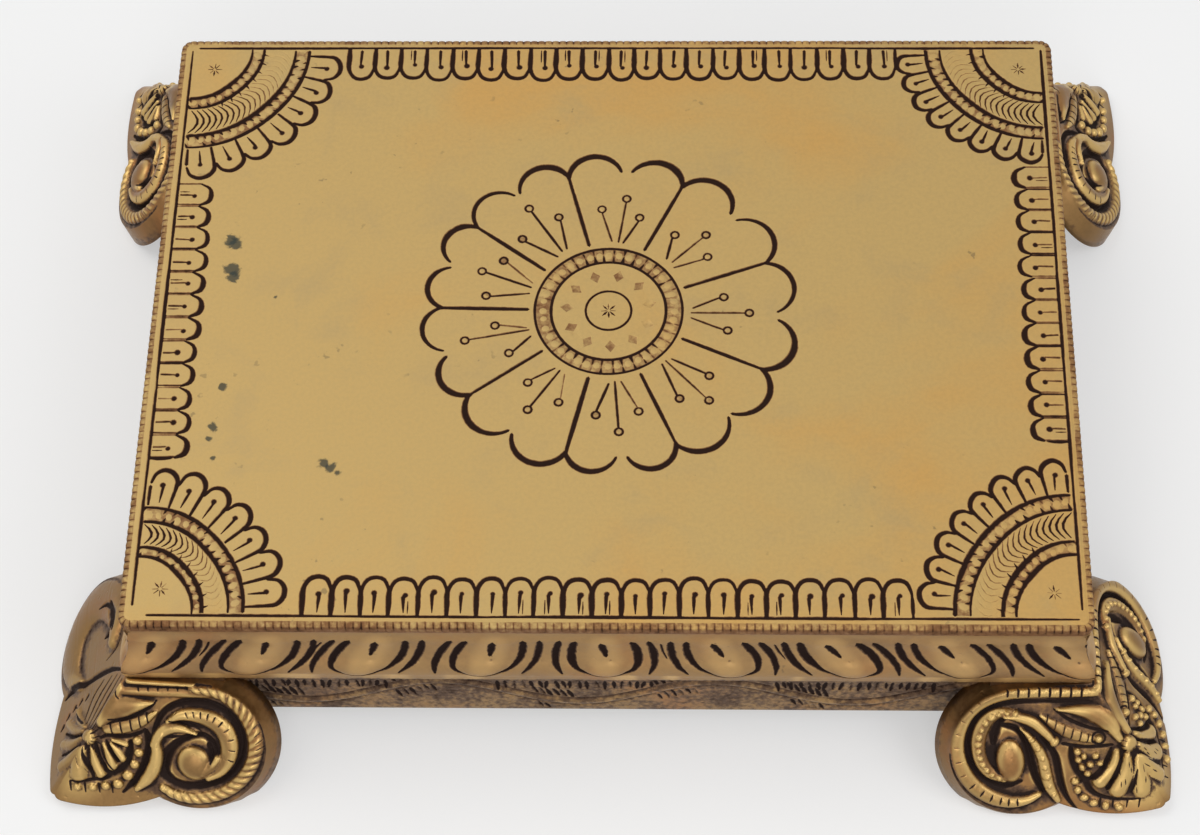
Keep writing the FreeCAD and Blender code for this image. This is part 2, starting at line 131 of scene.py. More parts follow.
def makeCamera():
    pitch, yaw, roll = (math.radians(cameraSet[label]) for label in ("pitch", "yaw", "roll"))
    ahead = Vector((math.sin(yaw) * math.cos(pitch), math.cos(yaw) * math.cos(pitch),
                    -math.sin(pitch)))
    right = Vector((math.cos(yaw), -math.sin(yaw), 0))
    up = right.cross(ahead)
    rolledRight = right * math.cos(roll) + up * math.sin(roll)
    rolledUp = up * math.cos(roll) - right * math.sin(roll)
    camera = bpy.data.objects.new("photoCamera", bpy.data.cameras.new("photoCamera"))
    bpy.context.scene.collection.objects.link(camera)
    turned = Matrix((rolledRight, rolledUp, -ahead)).transposed().to_4x4()
    camera.matrix_world = Matrix.Translation(Vector(cameraSet["place"]) * mm) @ turned
    camera.data.lens = cameraSet["lens"]
    camera.data.sensor_width = 36
    camera.data.clip_start = 0.01
    bpy.context.scene.camera = camera


stageSet = {
    "floorSize": 6.0,  # m
    "floorColor": (0.93, 0.93, 0.92, 1),
    "floorGlow": 0.45,  # share of plain white in the floor's look near the table
    "floorFade": (0.4, 1.1),  # distances in m between which the floor turns plain white
    "worldColor": (0.93, 0.96, 1.0, 1),
    "worldStrength": 0.4,
    "lamps": [  # place in m, size, watts, colour
        ((-0.7, 0.35, 1.3), 1.1, 7.6, (1.0, 0.97, 0.93)),
        ((0.9, -0.45, 1.1), 0.8, 5, (0.95, 0.97, 1.0)),
        ((0.0, -1.1, 0.75), 0.7, 4, (1.0, 0.98, 0.95)),
    ],
}


# One for what the camera sees straight, mirrored or through glass, nothing for light.
def seenPlain(tree):
    path = tree.nodes.new("ShaderNodeLightPath").outputs
    mirrored = calc(tree, "MAXIMUM", path["Is Glossy Ray"], path["Is Transmission Ray"])
    return calc(tree, "MAXIMUM", path["Is Camera Ray"], mirrored)


def mixSurface(tree, share, first, second, outKind):
    mix = newNode(tree, "ShaderNodeMixShader",
                  {0: share, 1: first.outputs[0], 2: second.outputs[0]})
    newNode(tree, outKind, {"Surface": mix.outputs[0]})


def makeStage():
    scene = bpy.context.scene
    scene.view_settings.view_transform = "Standard"
    world = bpy.data.worlds.new("softRoom")
    scene.world = world
    world.use_nodes = True
    tree = world.node_tree
    tree.nodes.clear()
    room = newNode(tree, "ShaderNodeBackground", {"Color": stageSet["worldColor"],
                                                  "Strength": stageSet["worldStrength"]})
    plain = newNode(tree, "ShaderNodeBackground", {"Color": white})
    mixSurface(tree, seenPlain(tree), room, plain, "ShaderNodeOutputWorld")

    bpy.ops.mesh.primitive_plane_add(size=stageSet["floorSize"], location=(0, 0, 0))
    floor = bpy.context.active_object
    floor.name = "floor"
    material, tree = newMaterial("paleFloor")
    matt = newNode(tree, "ShaderNodeBsdfPrincipled", {"Base Color": stageSet["floorColor"],
                                                      "Roughness": 0.9})
    glow = newNode(tree, "ShaderNodeEmission", {"Color": white})
    away = newNode(tree, "ShaderNodeVectorMath", {0: position(tree)})
    away.operation = "LENGTH"
    share = remap(tree, away.outputs["Value"], *stageSet["floorFade"], stageSet["floorGlow"], 1.0)
    mixSurface(tree, product(tree, seenPlain(tree), share), matt, glow, "ShaderNodeOutputMaterial")
    floor.data.materials.append(material)

    for index, (place, size, power, color) in enumerate(stageSet["lamps"]):
        name = "softLamp" + str(index)
        data = bpy.data.lights.new(name, "AREA")
        data.energy, data.size, data.color = power, size, color
        lamp = bpy.data.objects.new(name, data)
        lamp.location = place
        lamp.rotation_euler = (-Vector(place)).to_track_quat("-Z", "Y").to_euler()
        scene.collection.objects.link(lamp)


makeCamera()
makeStage()
print("stage: camera, floor and lamps")


# Points of a unit circle.
def circle(sides):
    angle = np.arange(sides) * turn / sides
    return np.stack([np.cos(angle), np.sin(angle)], axis=1)


# Share of the way along a segment, and distance from it, of each place.
def besideSegment(x, y, start, run, square):
    share = ((x - start[0]) * run[0] + (y - start[1]) * run[1]) / square
    share = np.clip(share, 0, 1)
    return share, np.hypot(x - start[0] - share * run[0], y - start[1] - share * run[1])


# Unit vectors to the left of a path, and along it.
def leftOf(path):
    way = np.gradient(path, axis=0)
    way /= np.maximum(np.linalg.norm(way, axis=1), 1e-9)[:, None]
    return np.stack([-way[:, 1], way[:, 0]], axis=1), way


# Cut strokes on a flat sheet. A stroke is a tapered V cut with black filling, and
# the sheet is meshed so that every edge of a stroke is an edge of the mesh.
class Engraving:
    margin = 0.05  # mm between a stroke and the mesh edges round it
    flatBelow = 0.03  # mm of height that is left out
    inkFloor, inkSpan = 0.07, 0.93  # ink that counts as none, and what is left of it

    def __init__(self, low, high, cell=0.1):
        self.low = np.array(low, float)
        self.cell = cell
        shape = [int((high[axis] - low[axis]) / cell) + 2 for axis in (1, 0)]
        self.depth, self.rise, self.inkAndShade = (np.zeros(shape, np.float32) for _ in range(3))
        self.points, self.edges = [], []
        self.bold = 1.0

    # The cells of a box: their slices, and the places of their centres.
    def patch(self, lowX, lowY, highX, highY):
        spans, centres = [], []
        for axis, low, high in ((0, lowX, highX), (1, lowY, highY)):
            size = self.depth.shape[1 - axis]
            first = max(int((low - self.low[axis]) / self.cell), 0)
            last = min(int((high - self.low[axis]) / self.cell) + 2, size)
            spans.append(slice(first, max(last, first)))
            centres.append(self.low[axis] + np.arange(first, max(last, first)) * self.cell)
        return (spans[1], spans[0]), centres[0], centres[1][:, None]

    def stampCut(self, a, b, halfA, halfB, depth, inkAndShade):
        reach = max(halfA, halfB)
        area, x, y = self.patch(min(a[0], b[0]) - reach, min(a[1], b[1]) - reach,
                                max(a[0], b[0]) + reach, max(a[1], b[1]) + reach)
        run = np.subtract(b, a)
        share, away = besideSegment(x, y, a, run, max(run @ run, 1e-9))
        half = halfA + (halfB - halfA) * share
        near = np.clip(1 - away / np.maximum(half, 1e-3), 0, 1)
        cut = near * np.minimum(depth, half * 1.1)
        self.depth[area] = np.maximum(self.depth[area], cut)
        self.inkAndShade[area] = np.maximum(self.inkAndShade[area], near * inkAndShade)

    def addPoint(self, place):
        self.points.append((float(place[0]), float(place[1])))

    def addChain(self, chain, closed):
        first = len(self.points)
        for place in chain:
            self.addPoint(place)
        last = len(self.points) - 1
        self.edges.extend((i, i + 1) for i in range(first, last))
        if closed:
            self.edges.append((last, first))

    # An open stroke through points, with a half width at each of them.
    def stroke(self, points, halves, depth, inkAndShade):
        p = np.array(points, float)
        share = np.linspace(0, 1, len(p))
        h = np.interp(share, np.linspace(0, 1, len(halves)), halves) * self.bold
        left, way = leftOf(p)
        side = left * (h[:, None] + self.margin)
        start = p[0] - way[0] * (h[0] + 2 * self.margin)
        end = p[-1] + way[-1] * (h[-1] + 2 * self.margin)
        self.addChain([start, *(p + side), end, *(p - side)[::-1]], True)
        self.addChain(p, False)
        for i in range(len(p) - 1):
            self.stampCut(p[i], p[i + 1], h[i], h[i + 1], depth, inkAndShade)

    def line(self, a, b, halves, depth, inkAndShade, step=0.7):
        self.stroke(straight(a, b, step), halves, depth, inkAndShade)

    # A closed ring cut, such as a ring punch.
    def ring(self, centre, radius, half, depth, inkAndShade, sides=None):
        sides = sides or max(10, int(turn * radius / 0.9))
        half *= self.bold
        for reach in (radius - half - self.margin, radius, radius + half + self.margin):
            self.addChain(centre + circle(sides) * reach, True)
        p = centre + circle(sides) * radius
        for i in range(sides):
            self.stampCut(p[i], p[(i + 1) % sides], half, half, depth, inkAndShade)

    def dot(self, centre, radius, depth, inkAndShade):
        radius *= self.bold
        for reach in (radius + self.margin, radius * 0.35):
            self.addChain(np.array(centre) + reach * circle(9), True)
        self.addPoint(centre)
        self.stampCut(centre, centre, radius, radius, depth, inkAndShade)

    # A low area with a flat bottom, given by a test on the places round a centre.
    def sink(self, centre, reach, inside, depth, inkAndShade):
        area, x, y = self.patch(centre[0] - reach, centre[1] - reach,
                                centre[0] + reach, centre[1] + reach)
        hit = inside(x - centre[0], y - centre[1])
        for field, level in ((self.depth, depth), (self.inkAndShade, inkAndShade)):
            field[area] = np.where(hit, np.maximum(field[area], level), field[area])

    # A small dome that stands on the bottom of whatever is round it.
    def bead(self, centre, radius, rise, stretch=1.0, angle=0.0, sides=8):
        ca, sa = math.cos(angle), math.sin(angle)
        spokes = circle(sides)
        for reach in (1.0, 0.62):
            lx = radius * stretch * reach * spokes[:, 0]
            ly = radius * reach * spokes[:, 1]
            self.addChain(np.stack([centre[0] + lx * ca - ly * sa,
                                    centre[1] + lx * sa + ly * ca], 1), True)
        self.addPoint(centre)
        reach = radius * max(stretch, 1)
        area, x, y = self.patch(centre[0] - reach, centre[1] - reach,
                                centre[0] + reach, centre[1] + reach)
        dx, dy = x - centre[0], y - centre[1]
        away = np.hypot((dx * ca + dy * sa) / stretch, dy * ca - dx * sa) / radius
        dome = rise * np.sqrt(np.clip(1 - away ** 2, 0, 1))
        self.rise[area] = np.maximum(self.rise[area], dome)
        self.inkAndShade[area] *= np.clip((away - 0.45) / 0.55, 0, 1)

    # Raised work along a path: a rounded ridge with a half width at each point,
    # and beads where a pitch is given.
    def ridge(self, points, halves, rise, full=0.5, edged=True, pitch=0.0, notch=0.28, slant=0.7):
        p = np.array(points, float)
        h = np.interp(np.linspace(0, 1, len(p)), np.linspace(0, 1, len(halves)), halves)
        reach = h.max()
        area, x, y = self.patch(p[:, 0].min() - reach, p[:, 1].min() - reach,
                                p[:, 0].max() + reach, p[:, 1].max() + reach)
        shape = np.broadcast(x, y).shape
        nearest, along, side, half = (np.full(shape, value) for value in (1e9, 0.0, 0.0, 1e-3))
        walked = 0.0
        for i in range(len(p) - 1):
            run = p[i + 1] - p[i]
            length = max(np.linalg.norm(run), 1e-6)
            share, away = besideSegment(x, y, p[i], run, length ** 2)
            cross = ((x - p[i, 0]) * run[1] - (y - p[i, 1]) * run[0]) / length
            closer = away < nearest
            nearest = np.where(closer, away, nearest)
            along = np.where(closer, walked + share * length, along)
            side = np.where(closer, cross, side)
            half = np.where(closer, h[i] + (h[i + 1] - h[i]) * share, half)
            walked += length
        dome = np.clip(1 - (nearest / np.maximum(half, 1e-3)) ** 2, 0, 1) ** full
        height = rise * dome
        if pitch:
            wave = 0.5 - 0.5 * np.cos(turn * (along + slant * side) / pitch)
            height = height * (1 - notch + notch * wave ** 0.5)
            groove = np.clip(1 - wave * 3, 0, 1) * (dome > 0.05)
            self.inkAndShade[area] = np.maximum(self.inkAndShade[area] * (dome <= 0), groove * 0.2)
        else:
            self.inkAndShade[area] = self.inkAndShade[area] * np.clip(1 - dome * 2, 0, 1)
        self.rise[area] = np.maximum(self.rise[area], height)
        self.depth[area] *= np.clip(1 - dome * 1.5, 0, 1)
        if edged:
            across = leftOf(p)[0] * h[:, None]
            self.addChain(p + across, False)
            self.addChain(p - across, False)

    # Darkens what lies lower than its surroundings and marks what stands higher.
    def tintRecesses(self, reach, dark, base=0.0):
        height = self.rise - self.depth
        around = soften(soften(height, reach), reach)
        low = np.clip((around - height - 0.05) * dark, 0, 0.85)
        self.inkAndShade = np.maximum(self.inkAndShade, low + base)
        self.high = np.clip((height - around) * 2.2, 0, 1)

    # Painted pool of light: the share of the highlight colour is raised round a place.
    def paintLightPool(self, spot, reach, amount):
        rows, columns = self.high.shape
        x = self.low[0] + np.arange(columns) * self.cell
        y = self.low[1] + np.arange(rows)[:, None] * self.cell
        away = np.hypot(x - spot[0], y - spot[1]) / reach
        self.high = np.maximum(self.high, amount * np.clip(1 - away ** 2, 0, 1))

    def sample(self, field, xy):
        g = (np.asarray(xy, float) - self.low) / self.cell
        x, y = (np.clip(g[:, axis], 0, field.shape[1 - axis] - 1.001) for axis in (0, 1))
        c, r = x.astype(int), y.astype(int)
        fx, fy = x - c, y - r
        return ((field[r, c] * (1 - fx) + field[r, c + 1] * fx) * (1 - fy)
                + (field[r + 1, c] * (1 - fx) + field[r + 1, c + 1] * fx) * fy)

    def height(self, xy):
        return self.sample(self.rise, xy) - self.sample(self.depth, xy)

    # Meshes the sheet inside a border. Returns places, triangles, heights, ink and
    # the index of each border point.
    def mesh(self, border, grid):
        base = len(border)
        places = [Vector(p) for group in (border, self.points, grid) for p in group]
        links = [(i, (i + 1) % base) for i in range(base)]
        links += [(a + base, b + base) for a, b in self.edges]
        made = delaunay_2d_cdt(places, links, [list(range(base))], 1, 1e-5, True)
        xy = np.array([(p.x, p.y) for p in made[0]], float)
        faces = np.array([f for f in made[2] if len(f) == 3], int)
        a, b, c = (xy[faces[:, corner]] for corner in range(3))
        (bx, by), (cx, cy) = (b - a).T, (c - a).T
        area = bx * cy - by * cx
        kept = (np.abs(area) > 1e-9) & isInside((a + b + c) / 3, np.array(border, float))
        faces = np.where((area < 0)[:, None], faces[:, ::-1], faces)[kept]
        origin = {source: index for index, sources in enumerate(made[3])
                  for source in sources if source < base}
        height = self.height(xy)
        height = np.sign(height) * np.maximum(np.abs(height) - self.flatBelow, 0)
        inkAndShade = np.clip((self.sample(self.inkAndShade, xy) - self.inkFloor) / self.inkSpan, 0, 1)
        return xy, faces, height, inkAndShade, origin


# Which points lie inside a closed border.
def isInside(points, border):
    x, y = points[:, 0], points[:, 1]
    inside = np.zeros(len(points), bool)
    for (ax, ay), (bx, by) in zip(border, np.roll(border, -1, axis=0)):
        if ay != by:
            crossed = (ay > y) != (by > y)
            inside ^= crossed & (x < (bx - ax) * (y - ay) / (by - ay) + ax)
    return inside


# Mean of a field over a square of cells that goes this far to each side.
def soften(field, reach):
    wide = 2 * reach + 1
    for axis in (0, 1):
        padding = [(0, 0), (0, 0)]
        padding[axis] = (reach + 1, reach)
        total = np.cumsum(np.pad(field, padding, mode="edge"), axis=axis, dtype=np.float64)
        cells = np.arange(field.shape[axis])
        field = (np.take(total, cells + wide, axis=axis) - np.take(total, cells, axis=axis)) / wide
    return field


# Points of a circular arc from a to b, bulging to the left of the way by a share of
# the chord.
def arcThrough(a, b, bulge, step=0.9):
    a, b = np.array(a, float), np.array(b, float)
    chord = np.linalg.norm(b - a)
    sagitta = max(abs(bulge) * chord, 1e-4)
    radius = (chord ** 2 / 4 + sagitta ** 2) / (2 * sagitta)
    out = np.array([-(b - a)[1], (b - a)[0]]) / chord * (1 if bulge > 0 else -1)
    centre = (a + b) / 2 + out * (sagitta - radius)
    sweep = 2 * math.asin(min(chord / 2 / radius, 1))
    if sagitta > radius:
        sweep = turn - sweep
    count = max(4, int(sweep * radius / step) + 1)
    start = math.atan2(a[1] - centre[1], a[0] - centre[0])
    way = -1 if bulge > 0 else 1
    angle = start + way * np.linspace(0, sweep, count)
    return centre + radius * np.stack([np.cos(angle), np.sin(angle)], axis=1)


# Points of a smooth curve through a few control points.
def curveThrough(controls, step=0.9):
    p = np.array(controls, float)
    p = np.vstack([2 * p[0] - p[1], p, 2 * p[-1] - p[-2]])
    out = []
    for a, b, c, d in zip(p, p[1:], p[2:], p[3:]):
        count = max(2, int(np.linalg.norm(c - b) / step) + 1)
        for k in range(count):
            f = k / count
            out.append(0.5 * (2 * b + (c - a) * f + (2 * a - 5 * b + 4 * c - d) * f ** 2
                              + (3 * b - a - 3 * c + d) * f ** 3))
    out.append(p[-2])
    return np.array(out)


def polar(centre, angle, radius):
    return np.array([centre[0] + radius * math.cos(math.radians(angle)),
                     centre[1] + radius * math.sin(math.radians(angle))])


def straight(a, b, step=1.6):
    a, b = np.array(a, float), np.array(b, float)
    count = max(2, int(np.linalg.norm(b - a) / step) + 1)
    return a + (b - a) * np.linspace(0, 1, count)[:, None]


# The unit vector from a towards b.
def unitTo(a, b):
    way = np.subtract(b, a)
    return way / np.linalg.norm(way)


def scaled(halves, share):
    return [half * share for half in halves]


# Triangles between neighbouring rows of point numbers.
def strip(rows):
    faces = []
    for low, up in zip(rows, rows[1:]):
        for i in range(len(low) - 1):
            faces += [(low[i], low[i + 1], up[i + 1]), (low[i], up[i + 1], up[i])]
    return faces


# Turns places about the upright axis by a number of quarter turns given in degrees.
def turnAbout(places, degrees):
    ca, sa = round(math.cos(math.radians(degrees))), round(math.sin(math.radians(degrees)))
    return np.column_stack([places[:, 0] * ca - places[:, 1] * sa,
                            places[:, 0] * sa + places[:, 1] * ca, places[:, 2]])


# Makes one mesh object from places in mm, triangles and named values per point.
def makePiece(name, places, faces, values, smooth, material, node):
    mesh = bpy.data.meshes.new(name)
    mesh.vertices.add(len(places))
    mesh.vertices.foreach_set("co", (np.asarray(places) * mm).astype(np.float32).ravel())
    mesh.loops.add(len(faces) * 3)
    mesh.loops.foreach_set("vertex_index", np.asarray(faces, np.int32).ravel())
    mesh.polygons.add(len(faces))
    mesh.polygons.foreach_set("loop_start", np.arange(0, len(faces) * 3, 3, dtype=np.int32))
    mesh.polygons.foreach_set("use_smooth", np.asarray(smooth, bool))
    for label, data in values.items():
        layer = mesh.attributes.new(label, "FLOAT", "POINT")
        layer.data.foreach_set("value", np.asarray(data, np.float32))
    mesh.update()
    mesh.validate()
    mesh.materials.append(material)
    piece = bpy.data.objects.new(name, mesh)
    bpy.context.scene.collection.objects.link(piece)
    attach(piece, "root")
    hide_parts(node)
    print("piece", name, len(places), "points", len(faces), "faces")


# Shader node groups that several materials share.

def newGroup(name, inputs, outputs):
    group = bpy.data.node_groups.new(name, "ShaderNodeTree")
    for label, value in inputs.items():
        kind = "NodeSocketColor" if isinstance(value, tuple) else "NodeSocketFloat"
        socket = group.interface.new_socket(label, in_out="INPUT", socket_type=kind)
        socket.default_value = value
    for label in outputs:
        kind = "NodeSocketColor" if label == "Color" else "NodeSocketFloat"
        group.interface.new_socket(label, in_out="OUTPUT", socket_type=kind)
    enter = group.nodes.new("NodeGroupInput")
    leave = group.nodes.new("NodeGroupOutput")
    return group, enter.outputs, leave.inputs, position(group)


# Uneven tarnish: wide warm clouds, small blotches, pinprick specks and fine grain.
def tarnishGroup():
    group, enter, leave, where = newGroup(
        "tarnish",
        {"Bright": (0.6, 0.45, 0.16, 1), "Warm": (0.62, 0.38, 0.12, 1),
         "Dull": (0.45, 0.34, 0.13, 1), "Clouds": 14.0, "Specks": 0.5},
        ("Color", "Grain", "Speck"))
    warm = remap(group, noise(group, where, enter["Clouds"], 5.0, 0.6, 0.6), 0.45, 0.72)
    color = blendColors(group, warm, enter["Bright"], enter["Warm"])
    blotch = noise(group, where, 46.0, 6.0, 0.62, 0.4)
    dull = product(group, remap(group, blotch, 0.5, 0.78), 0.75)
    color = blendColors(group, dull, color, enter["Dull"])
    grain = noise(group, where, 900.0)
    light = remap(group, grain, 0.3, 0.7)
    mottle = blendColors(group, light, (0.42, 0.42, 0.42, 1), (0.58, 0.58, 0.58, 1))
    color = blendColors(group, 0.35, color, mottle, "OVERLAY")
    fine = remap(group, noise(group, where, 330.0, 2.0, 0.5), 0.7, 0.76)
    region = remap(group, noise(group, where, 21.0, 3.0, 0.5), 0.5, 0.62)
    speck = product(group, product(group, fine, region), enter["Specks"])
    color = blendColors(group, speck, color, (0.10, 0.075, 0.04, 1))
    link(group, color, leave["Color"])
    link(group, grain, leave["Grain"])
    link(group, speck, leave["Speck"])
    return group


# Dark filling in cuts, patina in recesses and painted shade, from one value that noise makes
# uneven like worn filling: brown at its edge, black inside.
def fillingAndShadeGroup():
    group, enter, leave, where = newGroup(
        "fillingAndShade",
        {"Color": (0.5, 0.4, 0.2, 1), "Ink": 0.0, "Edge": (0.17, 0.10, 0.045, 1),
         "Black": (0.018, 0.015, 0.013, 1), "Wear": 0.22},
        ("Color", "Mask"))
    shift = calc(group, "ADD", calc(group, "SUBTRACT", noise(group, where, 620.0), 0.5),
                 calc(group, "SUBTRACT", noise(group, where, 75.0), 0.5))
    inkAndShade = calc(group, "ADD", enter["Ink"], product(group, shift, enter["Wear"]))
    inkAndShade = product(group, inkAndShade, remap(group, enter["Ink"], 0.02, 0.10))
    color = blendColors(group, remap(group, inkAndShade, 0.06, 0.24), enter["Color"], enter["Edge"])
    color = blendColors(group, remap(group, inkAndShade, 0.2, 0.42), color, enter["Black"])
    link(group, color, leave["Color"])
    link(group, remap(group, inkAndShade, 0.1, 0.4), leave["Mask"])
    return group


# Fine scratches, pits and a slight unevenness, as one height.
def surfaceGroup():
    group, enter, leave, where = newGroup(
        "handSurface", {"Scratches": 0.5, "Pits": 0.5, "Waves": 0.5}, ("Height",))
    lines = []
    for angle, scale in ((0.35, 260.0), (-1.1, 340.0)):
        mapping = newNode(group, "ShaderNodeMapping", {
            "Vector": where, "Rotation": (0, 0, angle), "Scale": (1, 0.035, 1)})
        lines.append(remap(group, noise(group, mapping.outputs[0], scale, 2.0, 0.5, 0.2),
                           0.62, 0.72))
    scratches = product(group, calc(group, "ADD", *lines),
                        product(group, enter["Scratches"], -0.12))
    pits = product(group, remap(group, noise(group, where, 420.0, 2.0, 0.5), 0.66, 0.8),
                   product(group, enter["Pits"], 0.3))
    waves = product(group, noise(group, where, 26.0, 2.0, 0.5), enter["Waves"])
    height = calc(group, "ADD", calc(group, "SUBTRACT", scratches, pits), waves)
    link(group, height, leave["Height"])
    return group


groups = {"tarnish": tarnishGroup(), "fillingAndShade": fillingAndShadeGroup(), "surface": surfaceGroup()}


def placeGroup(tree, name, values):
    node = tree.nodes.new("ShaderNodeGroup")
    node.node_tree = groups[name]
    return feed(tree, node, values).outputs


# Brass: tarnish and any stains, then the highlight colour where the point value "high" says, for
# rubbed wear and painted highlights, then filling, patina and painted shade where the point value
# for ink and painted shade says, then the surface.
def brassMaterial(name, look):
    material, tree = newMaterial(name)
    tarnish = placeGroup(tree, "tarnish", {
        label: look[label.lower()] for label in ("Bright", "Warm", "Dull", "Clouds", "Specks")})
    color = tarnish["Color"]
    rough = remap(tree, tarnish["Grain"], 0.3, 0.7, look["rough"] - 0.05, look["rough"] + 0.08)
    metal, shine = look["metal"], {}
    if "stains" in look:
        color = stainColor(tree, color, look["stains"])
    if "highlight" in look:
        # share of the highlight colour: rubbed wear on raised work, painted highlights and glints,
        # and painted pools of light
        wearAndHighlight = product(tree, remap(tree, pointValue(tree, "high"), 0.25, 0.9), 0.8)
        color = blendColors(tree, wearAndHighlight, color, look["highlight"])
    if look["filled"]:
        fillAndShade = placeGroup(tree, "fillingAndShade", {
            "Color": color, "Ink": pointValue(tree, "inkAndShade"), "Wear": look["wear"],
            "Edge": look["edge"], "Black": look["black"]})
        color, mask = fillAndShade["Color"], fillAndShade["Mask"]
        metal = remap(tree, mask, 0.0, 1.0, metal, 0.0, False)
        shine = {"Specular IOR Level": remap(tree, mask, 0.0, 1.0, 0.5, 0.04, False)}
        rough = calc(tree, "ADD", rough, product(tree, mask, 0.18))
    surface = placeGroup(tree, "surface", {
        label: look[label.lower()] for label in ("Scratches", "Pits", "Waves")})
    bump = newNode(tree, "ShaderNodeBump", {
        "Distance": 0.0006, "Strength": look["bump"], "Height": surface["Height"]})
    shader = newNode(tree, "ShaderNodeBsdfPrincipled", {
        "Base Color": color, "Metallic": metal, "Roughness": rough, **shine,
        "Normal": bump.outputs["Normal"]})
    newNode(tree, "ShaderNodeOutputMaterial", {"Surface": shader.outputs[0]})
    return material


# Blue-green stains at chosen places on the top, each with a ragged edge.
def stainColor(tree, color, stains):
    where = position(tree)
    ragged = calc(tree, "SUBTRACT", noise(tree, where, 240.0, 4.0, 0.7, 0.5), 0.5)
    for x, y, radius in stains:
        away = newNode(tree, "ShaderNodeVectorMath", {0: where, 1: (x * mm, y * mm, 59 * mm)})
        away.operation = "DISTANCE"
        reach = calc(tree, "ADD", away.outputs["Value"], product(tree, ragged, radius * 3.4 * mm))
        mask = remap(tree, reach, radius * 0.55 * mm, radius * 1.15 * mm, 0.85, 0.0)
        color = blendColors(tree, mask, color, (0.012, 0.021, 0.017, 1))
    return color


topLook = {
    "bright": (0.47, 0.315, 0.11, 1), "warm": (0.51, 0.295, 0.082, 1),
    "dull": (0.41, 0.285, 0.115, 1), "edge": (0.20, 0.086, 0.028, 1),
    "black": (0.026, 0.0125, 0.0085, 1), "clouds": 11.0, "specks": 0.5, "rough": 0.54,
    "metal": 0.45, "filled": True, "wear": 0.3, "scratches": 0.35, "pits": 0.4, "waves": 0.5,
    "bump": 0.3,
    "stains": [  # place and radius in mm
        (-105.2, 24.6, 1.9), (-103.6, 23.2, 2.0), (-104.2, 14.9, 2.0), (-103.8, 12.2, 1.8),
        (-103.4, -22.6, 1.2), (-105.0, -35.4, 1.3), (-106.0, -38.8, 1.1), (-104.2, -44.6, 0.8),
        (-91.4, 6.0, 0.7), (-74.8, -46.2, 1.7), (-72.9, -47.6, 1.7), (-71.2, -48.9, 1.2)],
}
# The highlight colour serves rubbed wear and painted highlights; edge and black colour filling,
# patina and painted shade.
apronLook = {
    "bright": (0.34, 0.20, 0.076, 1), "warm": (0.34, 0.165, 0.056, 1),
    "dull": (0.20, 0.11, 0.048, 1), "edge": (0.10, 0.052, 0.026, 1),
    "black": (0.018, 0.0095, 0.0075, 1), "highlight": (0.64, 0.40, 0.15, 1), "clouds": 30.0,
    "specks": 0.6, "rough": 0.47, "metal": 0.55, "filled": True, "wear": 0.45,
    "scratches": 0.8, "pits": 0.9, "waves": 1.0, "bump": 0.6,
}
legLook = dict(
    apronLook, bright=(0.235, 0.132, 0.047, 1), warm=(0.275, 0.118, 0.038, 1),
    dull=(0.11, 0.056, 0.024, 1), highlight=(0.60, 0.405, 0.145, 1),
    black=(0.027, 0.0165, 0.0135, 1), metal=0.82, rough=0.36)
insideLook = {
    "bright": (0.30, 0.22, 0.10, 1), "warm": (0.27, 0.17, 0.08, 1),
    "dull": (0.16, 0.12, 0.06, 1), "clouds": 40.0, "specks": 0.8, "rough": 0.6, "metal": 0.6,
    "filled": False, "scratches": 0.6, "pits": 1.0, "waves": 0.6, "bump": 0.6,
}
fastenerLook = dict(insideLook, bright=(0.42, 0.33, 0.16, 1), rough=0.45)
topBrass = brassMaterial("engravedTopBrass", topLook)
apronBrass = brassMaterial("chasedApronBrass", apronLook)
legBrass = brassMaterial("castLegBrass", legLook)
insideBrass = brassMaterial("dullInsideBrass", insideLook)
fastenerBrass = brassMaterial("turnedFastenerBrass", fastenerLook)
print("materials: brass finishes")


# Top plate: flower, four borders, four corner fans, frame lines and the beaded rim.

topSet = {
    "bold": 1.22,
    "lineX": (-121.4, 121.8), "lineY": (-90.9, 90.9),  # the cut frame lines
    "cornerRadius": 3.4, "beadPitch": 2.05, "notchDepth": 0.32,
    "frontPetals": 21, "frontStart": -77.6, "frontPitch": 7.45, "frontHeight": 11.0,
    "backShift": 1.5, "sidePetals": 12, "sidePitch": 7.35, "sideHeight": 9.7,
    "leftTop": 43.4, "rightTop": 49.4, "gridStep": 7.0, "plateThick": 3.0,
}

flowerSet = {
    "centre": (-0.3, 1.8), "outerRing": 20.1, "innerRing": 15.6, "eyeRing": 6.2,
    "beads": 40, "diamonds": 11, "diamondRing": 11.35, "diamondHalves": (2.1, 1.6),
    "lineStart": 22.0, "lineEnd": 45.3, "notch": 46.2, "lobeBulge": 0.4,
    "lobeHalves": ([0.62, 0.8, 0.84, 0.74, 0.42], [0.58, 0.92, 0.9, 0.7, 0.4]),
    # dividing line of each petal, then the angle and radius of its three ring punches
    "petals": [
        (105, [(94, 33.3), (83, 37.0), (75, 31.5)]),
        (64, [(54, 30.5), (43, 36.2), (33, 32.1)]),
        (20, [(8, 31.6), (-1, 38.2), (-11, 32.9)]),
        (-24, [(-37, 34.2), (-46, 39.2), (-55, 33.8)]),
        (-66, [(-75, 32.8), (-85, 38.1), (-95, 33.0)]),
        (-103.5, [(-114, 31.7), (-124, 37.7), (-133, 31.2)]),
        (-144, [(-153, 29.9), (-166, 39.9), (-171, 31.1)]),
        (-181, [(-188, 33.8), (-200, 37.1), (-209, 33.2)]),
        (-216.5, [(-224, 33.5), (-236, 40.3), (-245, 33.7)]),
    ],
}


